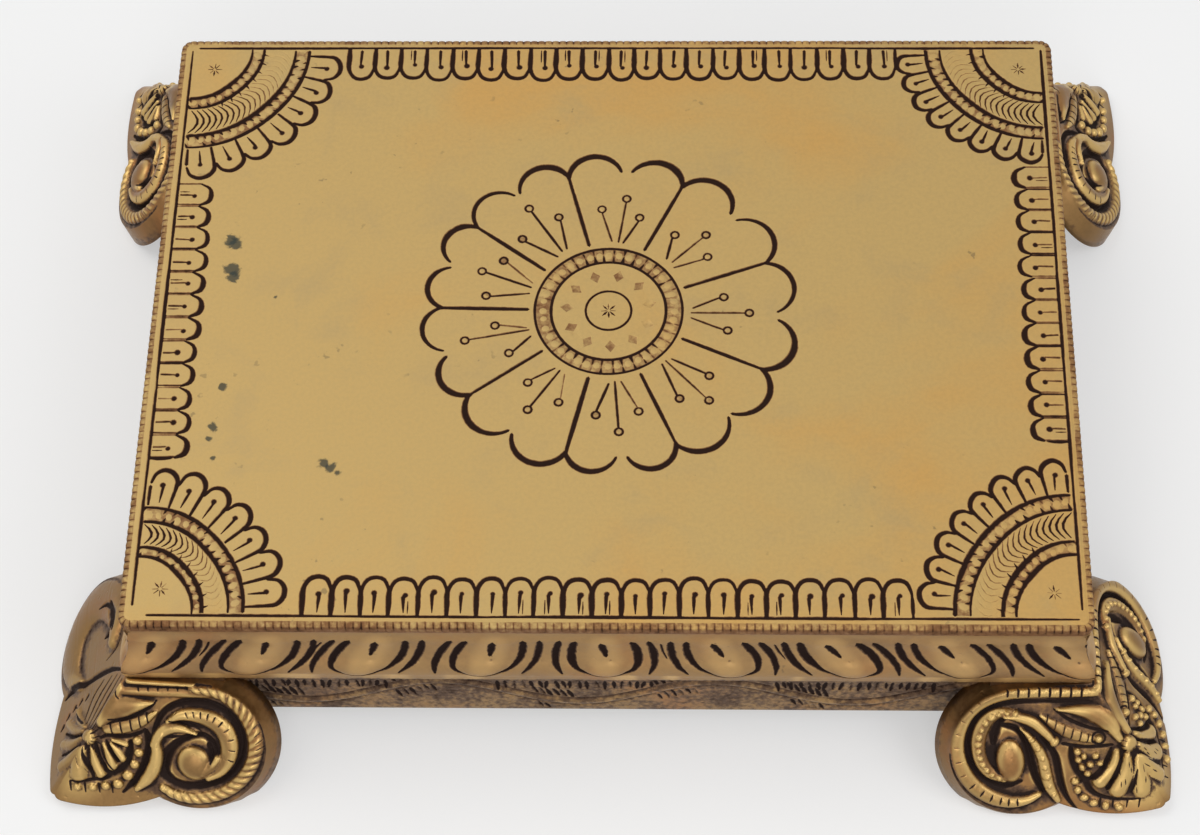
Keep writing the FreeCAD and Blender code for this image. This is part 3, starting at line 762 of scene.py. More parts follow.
# A band of beads between two ring cuts, with wedges between the beads.
def cutBeadRing(sheet, centre, dice):
    outer, inner, beads = (flowerSet[label] for label in ("outerRing", "innerRing", "beads"))
    sheet.sink(centre, outer,
               lambda x, y: (np.hypot(x, y) < outer) & (np.hypot(x, y) > inner), 0.16, 0.2)
    sheet.ring(centre, outer, 0.34, 0.3, 0.95)
    sheet.ring(centre, inner, 0.38, 0.3, 1.0)
    middle = (outer + inner) / 2
    for k in range(beads):
        angle = 360 * k / beads + dice.uniform(-1, 1)
        sheet.bead(polar(centre, angle, middle + dice.uniform(-0.15, 0.15)),
                   1.08 * dice.uniform(0.85, 1.05), 0.16, 1.1, math.radians(angle))
        gap = angle + 180 / beads
        strong = 0.35 + 0.6 * abs(math.sin(math.radians(gap)))
        sheet.line(polar(centre, gap, inner + 0.5), polar(centre, gap, inner + 2.3),
                   [0.5, 0.1], 0.22, strong * dice.uniform(0.5, 1.0))
        sheet.line(polar(centre, gap, outer - 0.5), polar(centre, gap, outer - 1.9),
                   [0.42, 0.08], 0.2, strong * dice.uniform(0.3, 0.9), 0.6)


def cutDiamond(sheet, spot, angle, dice):
    halves = flowerSet["diamondHalves"]
    corners = [polar(spot, angle + q * 90, halves[q % 2]) for q in range(4)]
    for share in (1.0, 0.85):
        sheet.addChain([spot + (corner - spot) * share for corner in corners], True)
    sheet.addPoint(spot)
    ca, sa = math.cos(math.radians(angle)), math.sin(math.radians(angle))
    sheet.sink(spot, 2, lambda x, y: (np.abs(x * ca + y * sa) / halves[0]
                                      + np.abs(y * ca - x * sa) / halves[1]) < 1,
               0.16, dice.uniform(0.2, 0.25))


# One petal: its dividing line, two lobes that meet at a notch, and three stamens.
def cutPetal(sheet, centre, angle, following, stamens, dice):
    s = flowerSet
    middle = (angle + following) / 2
    thick = dice.uniform(0.5, 0.68)
    sheet.line(polar(centre, angle, s["lineStart"]), polar(centre, angle, s["lineEnd"]),
               scaled((0.85, 1, 1, 0.75), thick), 0.45, dice.uniform(0.75, 1.0), 1.6)
    gap = dice.uniform(0.9, 2.0)
    notches = [polar(centre, middle + side * gap, s["notch"] + dice.uniform(-0.5, 0.4))
               for side in (1, -1)]
    starts = (polar(centre, angle, s["lineEnd"]), polar(centre, following, s["lineEnd"] + 0.3))
    for start, notch, side, halves in zip(starts, notches, (1, -1), s["lobeHalves"]):
        swell = dice.uniform(0.75, 1.15)
        bulge = side * s["lobeBulge"] * dice.uniform(0.92, 1.05)
        sheet.stroke(arcThrough(start, notch, bulge), scaled(halves, swell), 0.5, 1.0)
    for toAngle, radius in stamens:
        fromAngle = middle + (toAngle - middle) * 0.42
        faint = dice.uniform(0.35, 1.0)
        start = polar(centre, fromAngle, s["lineStart"] + dice.uniform(0.3, 1.4))
        sheet.line(start, polar(centre, toAngle, radius - 1.25), [0.32, 0.44, 0.4, 0.34],
                   0.3, faint, 1.6)
        punch = polar(centre, toAngle, radius)
        sheet.sink(punch, 1, lambda x, y: np.hypot(x, y) < 0.9, 0.03, 0.17)
        sheet.ring(punch, 1.1, 0.34, 0.25, 0.7, 12)


def cutAsterisk(sheet, centre, length, dice, half=0.3):
    for k in range(8):
        angle = k * 45 + dice.uniform(-6, 6)
        tip = polar(centre, angle, length * dice.uniform(0.8, 1.1))
        sheet.line(polar(centre, angle, 0.55), tip, scaled((0.5, 1, 0.3), half), 0.25,
                   dice.uniform(0.4, 0.9), 0.8)


def cutFlower(sheet, dice):
    s = flowerSet
    centre = np.array(s["centre"])
    cutBeadRing(sheet, centre, dice)
    for k in range(s["diamonds"]):
        angle = 360 * (k + 0.35) / s["diamonds"]
        cutDiamond(sheet, polar(centre, angle, s["diamondRing"]), angle, dice)
    sheet.ring(centre, s["eyeRing"], 0.34, 0.28, 0.9)
    cutAsterisk(sheet, centre, 2.3, dice, 0.32)
    for k, (angle, stamens) in enumerate(s["petals"]):
        following = s["petals"][(k + 1) % len(s["petals"])][0]
        if following > angle:
            following -= 360
        cutPetal(sheet, centre, angle, following, stamens, dice)


# A row of arched petals on a line: place turns (along, inwards) into x and y.
def cutPetalRow(sheet, count, pitch, height, place, dice, stemAway, faded=False):
    def cut(points, halves, depth, inkAndShade):
        sheet.stroke([place(point) for point in points], halves, depth, inkAndShade)

    for k in range(count):
        along = (k + 0.5) * pitch
        tall = height * dice.uniform(0.96, 1.04)
        left = along - pitch / 2 + dice.uniform(-0.15, 0.15)
        right = along + pitch / 2 - 0.35
        lean = dice.uniform(-0.25, 0.25)
        arch = [(left + lean * 0.3, 0.2), (left, tall * 0.34), (left + 0.05, tall * 0.68),
                (left + pitch * 0.2, tall * 0.93), (along + lean, tall),
                (along + pitch * 0.3, tall * 0.93), (right, tall * 0.7),
                (right + 0.15, tall * 0.58)]
        thick = dice.uniform(0.85, 1.15)
        if faded:
            for wall in (left, right - 0.2):
                cut(straight((wall, 0.2), (wall, tall * 0.68)), [0.3, 0.36, 0.36, 0.36], 0.25,
                    dice.uniform(0.3, 0.6))
            cut(curveThrough(arch[2:7], 1.1), scaled((0.3, 0.5, 0.8, 0.74, 0.36), thick), 0.5, 1.0)
        else:
            cut(curveThrough(arch, 1.1),
                scaled((0.5, 0.72, 0.75, 0.55, 0.62, 0.6, 0.45, 0.3), thick), 0.5, 1.0)
        if k == count - 1:
            cut(straight((right + 0.3, 0.3), (right + 0.2, tall * 0.62)), [0.3, 0.6, 0.55, 0.3],
                0.4, 1.0)
        stem = along + dice.uniform(-0.35, 0.35)
        reach = tall * dice.uniform(0.50, 0.60)
        halves, inkAndShade = ([0.14, 0.4, 0.56] if stemAway else [0.46, 0.42, 0.3]), 0.95
        if faded:
            halves, inkAndShade, reach = [0.36, 0.4, 0.28], dice.uniform(0.35, 0.6), reach * 0.86
        cut(straight((stem, tall * 0.1), (stem + lean, reach), 1.2), halves, 0.35, inkAndShade)
        dotX = stem + dice.uniform(-0.1, 0.5)
        sheet.dot(place((dotX, reach + 0.6)), 0.78 * dice.uniform(0.85, 1.15), 0.35, 1.0)
        if dice.random() < 0.35:
            beside = stem + dice.choice((-1.0, 1.05))
            cut(straight((beside, tall * 0.08), (beside, reach * 0.78), 1.2), [0.12, 0.22, 0.12],
                0.3, 0.7)


# Radii of each fan along the front or back line; "tall" stretches it the other way.
cornerFans = [
    {"signX": 1, "signY": 1, "inner": (15.5, 18.0), "outer": (24.8, 28.7), "tip": 39.6,
     "tall": 1.1, "petals": 7, "seed": 3},
    {"signX": -1, "signY": 1, "inner": (16.8, 20.2), "outer": (28.4, 32.4), "tip": 41.6,
     "tall": 1.12, "petals": 8, "seed": 4},
    {"signX": 1, "signY": -1, "inner": (17.2, 20.6), "outer": (29.7, 33.7), "tip": 43.6,
     "tall": 1.04, "petals": 7, "seed": 5},
    {"signX": -1, "signY": -1, "inner": (16.4, 19.8), "outer": (28.8, 32.8), "tip": 42.0,
     "tall": 0.97, "petals": 8, "seed": 6},
]
fanStart, fanSweep = 4, 84  # degrees that the beads, rays and petals of a fan take up


# A quarter fan in a corner: local axes run inwards along the two frame lines.
class CornerFan:
    def __init__(self, sheet, corner, fan):
        self.sheet, self.corner, self.fan = sheet, corner, fan
        self.dice = random.Random(fan["seed"])

    def spot(self, angle, radius):
        fan, corner = self.fan, self.corner
        return (corner[0] + fan["signX"] * radius * math.cos(math.radians(angle)),
                corner[1] + fan["signY"] * fan["tall"] * radius * math.sin(math.radians(angle)))

    # Straight cut between two places given by angle and radius.
    def line(self, a, b, halves, depth, inkAndShade, step=0.6):
        self.sheet.line(self.spot(*a), self.spot(*b), halves, depth, inkAndShade, step)

    def cutBand(self, low, high):
        sheet, dice, fan = self.sheet, self.dice, self.fan
        signX, signY, tall = fan["signX"], fan["signY"], fan["tall"]
        middle, wide = (low + high) / 2, high - low
        sheet.sink(self.corner, high * 1.2 + 1,
                   lambda x, y: (np.abs(np.hypot(x, y / tall) - middle) < wide / 2)
                   & (signX * x > 1) & (signY * y > 1), 0.16, 0.22)
        for radius, halves in ((low, (0.3, 0.6, 0.85, 0.7, 0.5)),
                               (high, (0.6, 0.8, 0.85, 0.7, 0.4))):
            fade = dice.uniform(0.75, 1.0)
            angles = np.linspace(2, 88, max(8, int(radius * 1.3 / 1.2)))
            sheet.stroke([self.spot(a, radius + 0.15 * math.sin(a / 9)) for a in angles],
                         scaled(halves, fade), 0.45, dice.uniform(0.85, 1.0))
        count = int(round(math.radians(fanSweep) * middle / 2.5))
        for k in range(count):
            angle = fanStart + fanSweep * (k + 0.5) / count + dice.uniform(-0.6, 0.6)
            sheet.bead(self.spot(angle, middle + dice.uniform(-0.2, 0.2)),
                       wide * dice.uniform(0.22, 0.29), 0.15, 1.3,
                       math.radians(angle + 25) * signX * signY, 7)
            gap = angle + fanSweep / 2 / count
            if dice.random() < 0.8:
                self.line((gap, low + 0.2), (gap - 1, low + wide * 0.42), [0.62, 0.1], 0.25,
                          dice.uniform(0.5, 1.0))
            if dice.random() < 0.55:
                self.line((gap, high - 0.2), (gap + 1, high - wide * 0.35), [0.5, 0.1], 0.25,
                          dice.uniform(0.4, 1.0))

    # Fine curved rays between the two bands, fainter towards the front or back line.
    def cutRays(self, low, high):
        count = int(math.radians(fanSweep) * low / 1.5)
        for k in range(count):
            angle = fanStart + fanSweep * (k + 0.5) / count
            path = [self.spot(angle - 5.0 * math.sin(math.pi * t) + 2.0 * t,
                              low + (high - low) * t) for t in np.linspace(0, 1, 6)]
            share = k / count
            thick = 0.7 + 0.7 * share
            self.sheet.stroke(path, [*scaled((0.1, 0.24, 0.3), thick), 0.12], 0.3,
                              0.2 + 0.8 * share ** 1.6)
            if k % 2 == 0 and share < 0.7:
                self.line((angle, low - 0.7), (angle + 1, low + 0.8), [0.4, 0.1], 0.25,
                          self.dice.uniform(0.5, 1.0), 0.5)

    def cutArches(self, root):
        sheet, dice, count = self.sheet, self.dice, self.fan["petals"]
        step = fanSweep / count
        half = step / 2 * 0.94
        for k in range(count):
            centre = fanStart + step * (k + 0.5)
            tip = self.fan["tip"] * dice.uniform(0.985, 1.01)
            tall = tip - root
            arch = [(-half, root + tall * 0.5), (-half * 0.95, root + tall * 0.76),
                    (-half * 0.5, tip - 0.5), (half * 0.15, tip), (half * 0.72, tip - 1.3),
                    (half * 0.97, root + tall * 0.62)]
            sheet.stroke([self.spot(centre + a, r) for a, r in curveThrough(arch, 1.0)],
                         [0.5, 0.7, 0.75, 0.7, 0.56, 0.36], 0.5, 1.0)
            for side in (-1, 1) if k == count - 1 else (-1,):
                self.line((centre + side * half, root + tall * 0.52),
                          (centre + side * half * 0.97, root + 0.1), [0.52, 0.5, 0.36], 0.4,
                          dice.uniform(0.75, 1.0), 1.6)
            lean = dice.uniform(-1.2, 1.2)
            deep = tall * dice.uniform(0.5, 0.58)
            self.line((centre + lean, root + 0.9), (centre, root + deep), [0.14, 0.36, 0.4], 0.3,
                      dice.uniform(0.7, 1.0), 1.2)
            sheet.dot(self.spot(centre + dice.uniform(-0.4, 0.6), root + deep + 0.4), 0.78,
                      0.35, 1.0)

    def cut(self):
        fan, corner = self.fan, self.corner
        star = (corner[0] + fan["signX"] * 6.8, corner[1] + fan["signY"] * 7.6)
        cutAsterisk(self.sheet, star, 2.1, self.dice)
        self.cutBand(*fan["inner"])
        self.cutBand(*fan["outer"])
        self.cutRays(fan["inner"][1] + 0.9, fan["outer"][0] - 0.8)
        self.cutArches(fan["outer"][1] + 0.6)


# A frame line in overlapping pieces, each a little off the line.
def cutFrameLine(sheet, a, b, inkAndShade, dice):
    a, b = np.array(a), np.array(b)
    pieces = 5
    for k in range(pieces):
        start = a + (b - a) * max(k / pieces - 0.02, 0)
        end = a + (b - a) * min((k + 1) / pieces + 0.02, 1)
        wobble = unitTo(a, b)[::-1] * dice.uniform(-0.12, 0.12)
        thick = dice.uniform(0.4, 0.54)
        sheet.line(start + wobble, end + wobble, scaled((0.7, 1, 1, 0.6), thick), 0.4,
                   inkAndShade * dice.uniform(0.7, 1.0), 3.0)


# Outline of a rounded rectangle: places and inward normals.
def rimPath(halfX, halfY, radius, pitch, parts):
    straightX, straightY = 2 * (halfX - radius), 2 * (halfY - radius)
    quarter = math.pi * radius / 2
    total = 2 * (straightX + straightY) + 4 * quarter
    count = int(round(total / pitch))
    distance = ((np.arange(count)[:, None] + np.array(parts)) * (total / count)).ravel() % total
    places, normals = [], []
    for s in distance:
        side = 0
        for length in (straightX, straightY, straightX, straightY):
            if s < length + quarter:
                break
            s -= length + quarter
            side += 1
        ca, sa = ((1, 0), (0, 1), (-1, 0), (0, -1))[side]
        edge = halfY if side % 2 == 0 else halfX
        half = (halfX if side % 2 == 0 else halfY) - radius
        if s < length:
            local, inward = (s - half, -edge), (0, 1)
        else:
            a = (s - length) / radius
            local = (half + radius * math.sin(a), -edge + radius - radius * math.cos(a))
            inward = (-math.sin(a), math.cos(a))
        for made, (x, y) in ((places, local), (normals, inward)):
            made.append((x * ca - y * sa, x * sa + y * ca))
    return np.array(places), np.array(normals)


# Section of the rim from the plate outwards and under: inset, level and notch share.
rimSection = [
    (2.5, 0.0, 0.0), (2.2, -0.02, 0.0), (1.9, -0.16, 0.0), (1.6, -0.08, 0.35), (1.15, 0.0, 0.8),
    (0.6, -0.1, 1.0), (0.2, -0.42, 1.0), (0.02, -0.95, 0.9), (0.0, -1.8, 0.55), (0.05, -2.9, 0.3),
    (0.3, -3.8, 0.2), (0.9, -4.28, 0.0), (2.6, -4.3, 0.0), (2.6, -3.0, 0.0),
]
# Where the points of one bead lie along the rim, and how deep the notch is there.
notchShape = {0.0: 1.0, 0.16: 0.28, 0.5: 0.0, 0.84: 0.28}


# The rim as rows of places with their ink: patina in the notches, a brown tone on the lip and
# painted shade on the outer upright face.
def rimRows(halfX, halfY, level, dice):
    s = topSet
    places, inward = rimPath(halfX, halfY, s["cornerRadius"], s["beadPitch"], list(notchShape))
    columns = len(places)
    spots = np.arange(0, columns + 40, 40)
    uneven = np.interp(np.arange(columns), spots, [dice.uniform(0.7, 1.15) for _ in spots])
    notch = np.tile(list(notchShape.values()), columns // len(notchShape))
    depth = notch * s["notchDepth"] * uneven
    rows, inks = [], []
    for inset, drop, share in rimSection:
        cut = depth * share
        zed = level + drop - (cut * 0.8 if inset > 0.5 and drop > -1 else np.zeros(columns))
        rows.append(np.column_stack([places + inward * (inset + cut)[:, None], zed]))
        # painted shade darkens the outer upright face; the lip gets a brown tone
        base = 0.24 if drop < -0.9 else 0.15 if inset < 1.7 else 0
        inks.append(np.clip(cut * 0.75 - 0.05, 0, 0.2) + base)
    return rows, np.concatenate(inks)


def makeTop():
    s = topSet
    dice = random.Random(21)
    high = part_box("top_plate")[1]
    halfX, halfY, level = high.x / mm, high.y / mm, high.z / mm
    sheet = Engraving((-halfX, -halfY), (halfX, halfY))
    sheet.bold = s["bold"]
    (x0, x1), (y0, y1) = s["lineX"], s["lineY"]
    cutFlower(sheet, dice)
    start, front = s["frontStart"], (s["frontPetals"], s["frontPitch"], s["frontHeight"])
    side = (s["sidePetals"], s["sidePitch"], s["sideHeight"])
    cutPetalRow(sheet, *front, lambda p: (start + p[0], y0 + p[1]), dice, True)
    cutPetalRow(sheet, *front, lambda p: (start + s["backShift"] + p[0], y1 - p[1]), dice, False)
    cutPetalRow(sheet, *side, lambda p: (x0 + p[1], s["leftTop"] - p[0]), dice, False, True)
    cutPetalRow(sheet, *side, lambda p: (x1 - p[1], s["rightTop"] - p[0]), dice, False, True)
    for fan in cornerFans:
        corner = (x0 if fan["signX"] > 0 else x1, y0 if fan["signY"] > 0 else y1)
        CornerFan(sheet, corner, fan).cut()
    for a, b, inkAndShade in (((x0, y0 + 3), (x0, y1 - 1), 1.0), ((x1, y0 + 3), (x1, y1 - 1), 1.0),
                      ((x0 + 4, y0), (x1 - 1, y0), 0.9), ((x0 + 2, y1), (x1 - 2, y1), 0.95)):
        cutFrameLine(sheet, a, b, inkAndShade, dice)

    rows, rimInkAndShade = rimRows(halfX, halfY, level, dice)
    columns = len(rows[0])
    rim = np.vstack(rows)
    grid = [(x, y) for x in np.arange(-halfX + 8, halfX - 7, s["gridStep"])
            for y in np.arange(-halfY + 8, halfY - 7, s["gridStep"])]
    xy, faces, height, inkAndShade, origin = sheet.mesh(rows[0][:, :2], grid)
    print("top sheet", len(xy), len(faces))

    # the sheet's points get numbers after the rim's, whose first row they share
    number = np.full(len(xy), -1)
    for source, index in origin.items():
        number[index] = source
    inner = np.flatnonzero(number < 0)
    number[inner] = len(rim) + np.arange(len(inner))
    plate = np.column_stack([xy, level + np.minimum(height, 0)])[inner]
    places = np.vstack([rim, plate, [[0, 0, level - s["plateThick"]]]])
    column = np.arange(columns)
    after = (column + 1) % columns
    strips = []
    for row in range(len(rows) - 1):
        a, b = row * columns + column, row * columns + after
        c, d = a + columns, b + columns
        strips += [np.column_stack([a, c, d]), np.column_stack([a, d, b])]
    under = len(rim) - columns
    hub = np.full(columns, len(places) - 1)
    closing = np.column_stack([hub, under + after, under + column])
    cutHere = np.abs(sheet.height(xy[faces].mean(axis=1))) > 1e-3
    smooth = np.concatenate([cutHere, np.ones(2 * under, bool), np.zeros(columns, bool)])
    makePiece("topPlate", places, np.vstack([number[faces], *strips, closing]),
              {"inkAndShade": np.concatenate([rimInkAndShade, inkAndShade[inner], [0]])}, smooth, topBrass,
              "top_plate")


makeTop()


# Aprons: one moulded section, mitred at the corners, with chased petals and a vine.

apronSet = {
    "shoulderInset": 1.0, "proud": 1.9, "friezeInset": 0.2, "wall": 4.8, "tongue": 2.9,
    "rimUnder": 54.7, "bandTop": 49.0, "bandFoot": 33.4, "ledge": 31.8, "foot": 8.8, "bold": 1.25,
    "plateUnder": 56.0, "cavettoRadius": 6.5, "hollowRadius": 16.0, "swellRadius": 9.0,
    "petalPitch": 29.3, "petalDeep": 13.6, "lean": 0.42,
    "vineDrop": 12.8, "vineReach": 6.2, "vineWave": 73.0,
}


# Points of an arc of a given radius from a to b; a positive side bulges outwards.
def bulged(a, b, radius, side):
    chord = math.dist(a, b)
    sagitta = radius - math.sqrt(radius ** 2 - chord ** 2 / 4)
    return arcThrough(a, b, side * sagitta / chord)


# The outer line of the section, as offset and level, from the rim to the underside.
def apronSection():
    s = apronSet
    shoulder, proud, frieze = -s["shoulderInset"], s["proud"], -s["friezeInset"]
    ledge, foot = s["ledge"], s["foot"]
    top, band = (shoulder, s["rimUnder"]), (shoulder, s["bandTop"])
    bandEnd = (proud, s["bandFoot"])
    middle = ((s["proud"] - s["shoulderInset"]) / 2, (s["bandTop"] + s["bandFoot"]) / 2)
    return np.vstack([
        bulged(top, band, s["cavettoRadius"], -1), bulged(band, middle, s["hollowRadius"], -1)[1:],
        bulged(middle, bandEnd, s["swellRadius"], 1)[1:],
        straight(bandEnd, (proud, ledge + 0.25), 0.8)[1:], [(proud - 0.25, ledge)],
        straight((proud - 0.25, ledge), (frieze, ledge), 1.2)[1:],
        straight((frieze, ledge), (frieze, foot + 0.4), 1.4)[1:],
        [(frieze - 0.12, foot + 0.12), (frieze - 0.4, foot)]])


# Cup-shaped petals between curved flutes, all leaning away from the middle.
def cutApronPetals(sheet, top, count, pitch, dice):
    s = apronSet
    deep, wide = s["petalDeep"], pitch / s["petalPitch"]
    cup = [(-7.4, 0.6), (-8.3, 3.6), (-8.7, 7.4), (-6.9, 11.2), (-3.0, 13.4), (0, 13.9),
           (3.2, 13.3), (6.9, 11.0), (8.6, 7.4), (8.5, 3.6), (7.7, 0.6)]
    cupHalves = (0.9, 1.15, 1.05, 0.55, 0.3, 0.24, 0.3, 0.55, 1.05, 1.15, 0.9)
    flute = [(11.7, 0.4), (12.7, 4.5), (12.8, 8.6), (11.2, 13.0)]
    between = [(14.5, 1.2), (14.9, 4.4), (14.7, 7.0)]
    for k in range(count):
        centre = (k - (count - 1) / 2) * pitch + dice.uniform(-0.7, 0.7)
        lean = s["lean"] * max(-1, min(1, centre / 40)) + dice.uniform(-0.03, 0.03)

        def at(x, t):
            return (centre + x + lean * t, top + t)

        def cut(controls, side, halves, depth, inkAndShade):
            points = curveThrough([(side * x, t) for x, t in controls])
            sheet.stroke([at(x * wide, t) for x, t in points], halves, depth, inkAndShade)

        swell = dice.uniform(0.85, 1.15)
        sheet.ridge([at(0, 1), at(0, deep * 0.55), at(0, deep * 0.75)],
                    scaled((6.2, 7.2, 5.4), wide), 0.75, 0.7, False)
        cut(cup, 1, scaled(cupHalves, swell), 0.7, 1.0)
        for side in (-1, 1):
            cut(flute, side, [0.85, 1.15, 0.95, 0.3], 0.6, dice.uniform(0.85, 1.0))
            if dice.random() < 0.4:
                cut(between, side, [0.3, 0.42, 0.2], 0.4, dice.uniform(0.4, 0.8))
        sheet.stroke([at(x, t) for x, t in straight((0.6, 0.6), (-0.3, 5.6), 1.0)],
                     [1.0, 1.05, 0.5], 0.6, 1.0)
        sheet.dot(at(-1.4, 7.6), 1.4, 0.35, 0.2)


# A low vine that waves along the frieze, with leaves of short hatch strokes.
def cutFrieze(sheet, half, top, bottom, dice):
    wave, middle = apronSet["vineWave"], top + apronSet["vineDrop"]

    def vine(x):
        return middle + apronSet["vineReach"] * math.sin(turn * x / wave + 0.9)

    line = [(x, vine(x)) for x in np.arange(-half + 3, half - 3, 1.2)]
    sheet.ridge(line, [1.3], 0.55, 0.8, False)
    for shift in (-1.9, 1.9):
        sheet.stroke([(x, y + shift) for x, y in line], [0.55], 0.3, 0.2)
    end = half - 6
    x = -end
    while x < end:
        if vine(x) > middle - 2:
            long = dice.uniform(2.6, 4.2)
            sheet.line((x, top + 6.6), (x + dice.uniform(-0.8, 0.8), top + 7.2 + long),
                       [0.4, 0.7, 0.25], 0.45, dice.uniform(0.4, 1.0), 1.2)
        x += dice.uniform(1.7, 2.6)
    waves = int(half / wave) * 2 + 2
    for k in range(-waves, waves + 1):
        start = (k + dice.uniform(0.2, 0.4)) * wave / 2
        for x in (start + j * 1.9 for j in range(6)):
            if abs(x) >= end:
                continue
            y = vine(x) - dice.uniform(2.4, 3.2)
            long = dice.uniform(3.4, 5.4)
            sheet.line((x, y), (x + 1.4, max(y - long, top + 0.6)), [0.4, 0.75, 0.3], 0.45,
                       dice.uniform(0.45, 1.0), 1.2)
            if vine(x) < bottom - 6:
                y = vine(x) + dice.uniform(2.4, 3.2)
                sheet.line((x, y), (x - 1.2, min(y + long * 0.7, bottom - 0.8)),
                           [0.4, 0.6, 0.2], 0.4, dice.uniform(0.3, 0.8), 1.2)


# Tints the sheet: dark patina in recesses, painted shade in bands under the rim and the ledge, a
# darker frieze that is partly its own browner tone and partly painted shade, painted highlights on
# the raised cups and vine, and painted glints along the ledge.
def tintApron(sheet, levels, dice):
    bandTop, ledgeTop, friezeTop, end = levels
    sheet.tintRecesses(9, 1.4)
    rows, columns = sheet.inkAndShade.shape
    level = np.arange(rows) * sheet.cell
    # painted shade by level: under the rim, under the ledge and down the frieze, which is partly
    # its own browner tone
    shade = np.interp(level, [0, bandTop, ledgeTop - 2, ledgeTop, ledgeTop + 1.6, friezeTop, end],
                      [0.15, 0.1, 0.07, 0.0, 0.24, 0.28, 0.2])
    sheet.inkAndShade = np.maximum(sheet.inkAndShade, shade[:, None])
    # painted highlights on the raised cups and the vine
    sheet.high = np.maximum(sheet.high, np.clip(sheet.rise * 0.8, 0, 0.55))
    # painted glints along the ledge, strong in some places and faint in others
    spots = np.arange(0, columns + 30, 30)
    glint = np.interp(np.arange(columns), spots, [dice.random() ** 1.2 for _ in spots])
    sheet.high[(level > ledgeTop - 2.2) & (level < ledgeTop + 1.4)] = glint


def makeApron(name, length, depth, turned):
    s = apronSet
    dice = random.Random(len(name) * 7 + turned)
    half = length / 2
    section = apronSection()
    offsets, levels = section.T
    run = np.concatenate([[0], np.cumsum(np.linalg.norm(np.diff(section, axis=0), axis=1))])
    way = np.gradient(section, run, axis=0)
    way /= np.linalg.norm(way, axis=1)[:, None]
    sheet = Engraving((-half, 0), (half, run[-1]), 0.12)
    sheet.bold = s["bold"]
    bandTop = run[np.argmin(np.abs(levels - s["bandTop"]) + np.abs(offsets + s["shoulderInset"]))]
    ledgeTop = run[np.argmin(np.abs(levels - s["bandFoot"]) + np.abs(offsets - s["proud"]))]
    friezeTop = run[np.flatnonzero(offsets > -s["friezeInset"] + 0.05)[-1]] + 0.6
    count = int(round(length / s["petalPitch"] + 0.45))
    pitch = s["petalPitch"] if length > 200 else length / (count - 0.3)
    cutApronPetals(sheet, bandTop + 0.3, count, pitch, dice)
    cutFrieze(sheet, half, friezeTop, run[-1] - 0.8, dice)
    tintApron(sheet, (bandTop, ledgeTop, friezeTop, run[-1]), dice)

    across = np.linspace(-half, half, int(length / 1.6))[:-1]
    border = [(x, 0) for x in across] + [(half, t) for t in run[:-1]]
    border += [(-x, run[-1]) for x in across] + [(-half, t) for t in run[:0:-1]]
    grid = [(x, t) for row, t in enumerate(run[1:-1])
            for x in np.arange(-half + 0.8 + 0.5 * (row % 2), half - 0.5, 1.3)]
    for t in (ledgeTop, ledgeTop + 1.4):
        ends = (-half + 0.7, half - 0.7)
        sheet.addChain([(x, t) for x in np.linspace(*ends, int(length / 1.3))], False)
    xy, faces, height, inkAndShade, origin = sheet.mesh(border, grid)
    # rubbed wear on raised work, with painted highlights on the cups and vine and painted glints
    # along the ledge
    high = sheet.sample(sheet.high, xy)
    height = height * np.clip((half - np.abs(xy[:, 0])) / 1.6, 0, 1)
    base, level, outX, outZ = (np.interp(xy[:, 1], run, values)
                               for values in (offsets, levels, -way[:, 1], way[:, 0]))
    places = np.column_stack([xy[:, 0] * (half + base) / half,
                              depth / 2 + (base + height * outX), level + height * outZ])

    # the hidden back: underside, inner face, tongue and the seat under the rim
    inner = -(s["friezeInset"] + s["wall"])
    back = [(inner, s["foot"]), (inner, s["plateUnder"]), (-s["tongue"], s["plateUnder"]),
            (-s["tongue"], s["rimUnder"])]
    lastRow, firstRow = (
        sorted((origin[i] for i, point in enumerate(border) if point[1] == t),
               key=lambda i: xy[i, 0]) for t in (run[-1], 0))
    rows, extra = [lastRow], []
    for o, z in back:
        start = len(places) + len(extra)
        extra += [(xy[i, 0] * (half + o) / half, depth / 2 + o, z) for i in lastRow]
        rows.append(range(start, start + len(lastRow)))
    rows.append(firstRow)
    walls = strip(rows)
    # the mitred ends, each a fan round a point inside the section
    o = -(s["friezeInset"] + s["wall"] * 0.5)
    hubs = [(side * (half + o), depth / 2 + o, s["ledge"]) for side in (-1, 1)]
    places = np.vstack([places, extra, hubs])
    for side, hub in ((-1, len(places) - 2), (1, len(places) - 1)):
        edge = sorted((origin[i] for i, point in enumerate(border)
                       if abs(point[0] - side * half) < 1e-6), key=lambda i: xy[i, 1])
        loop = edge + [row[0 if side < 0 else -1] for row in rows[1:-1]]
        for a, b in zip(loop, loop[1:] + loop[:1]):
            walls.append((hub, a, b) if side > 0 else (hub, b, a))
    hidden = len(places) - len(xy)
    makePiece(name + "Chased", turnAbout(places, turned),
              np.vstack([faces[:, ::-1], np.array(walls)[:, ::-1]]),
              {"inkAndShade": np.concatenate([inkAndShade, np.full(hidden, 0.25)]),
               "high": np.concatenate([high, np.zeros(hidden)])},
              np.arange(len(faces) + len(walls)) < len(faces), apronBrass, name)


for apronName, length, depth, turned in (
        ("front_apron", 250, 188, 180), ("back_apron", 250, 188, 0),
        ("left_apron", 188, 250, 90), ("right_apron", 188, 250, 270)):
    makeApron(apronName, length, depth, turned)


# Legs: a corner casting of two splayed faces. Each face is drawn once, as inset from
# the corner and drop down the slope, with its relief as a height over the face.

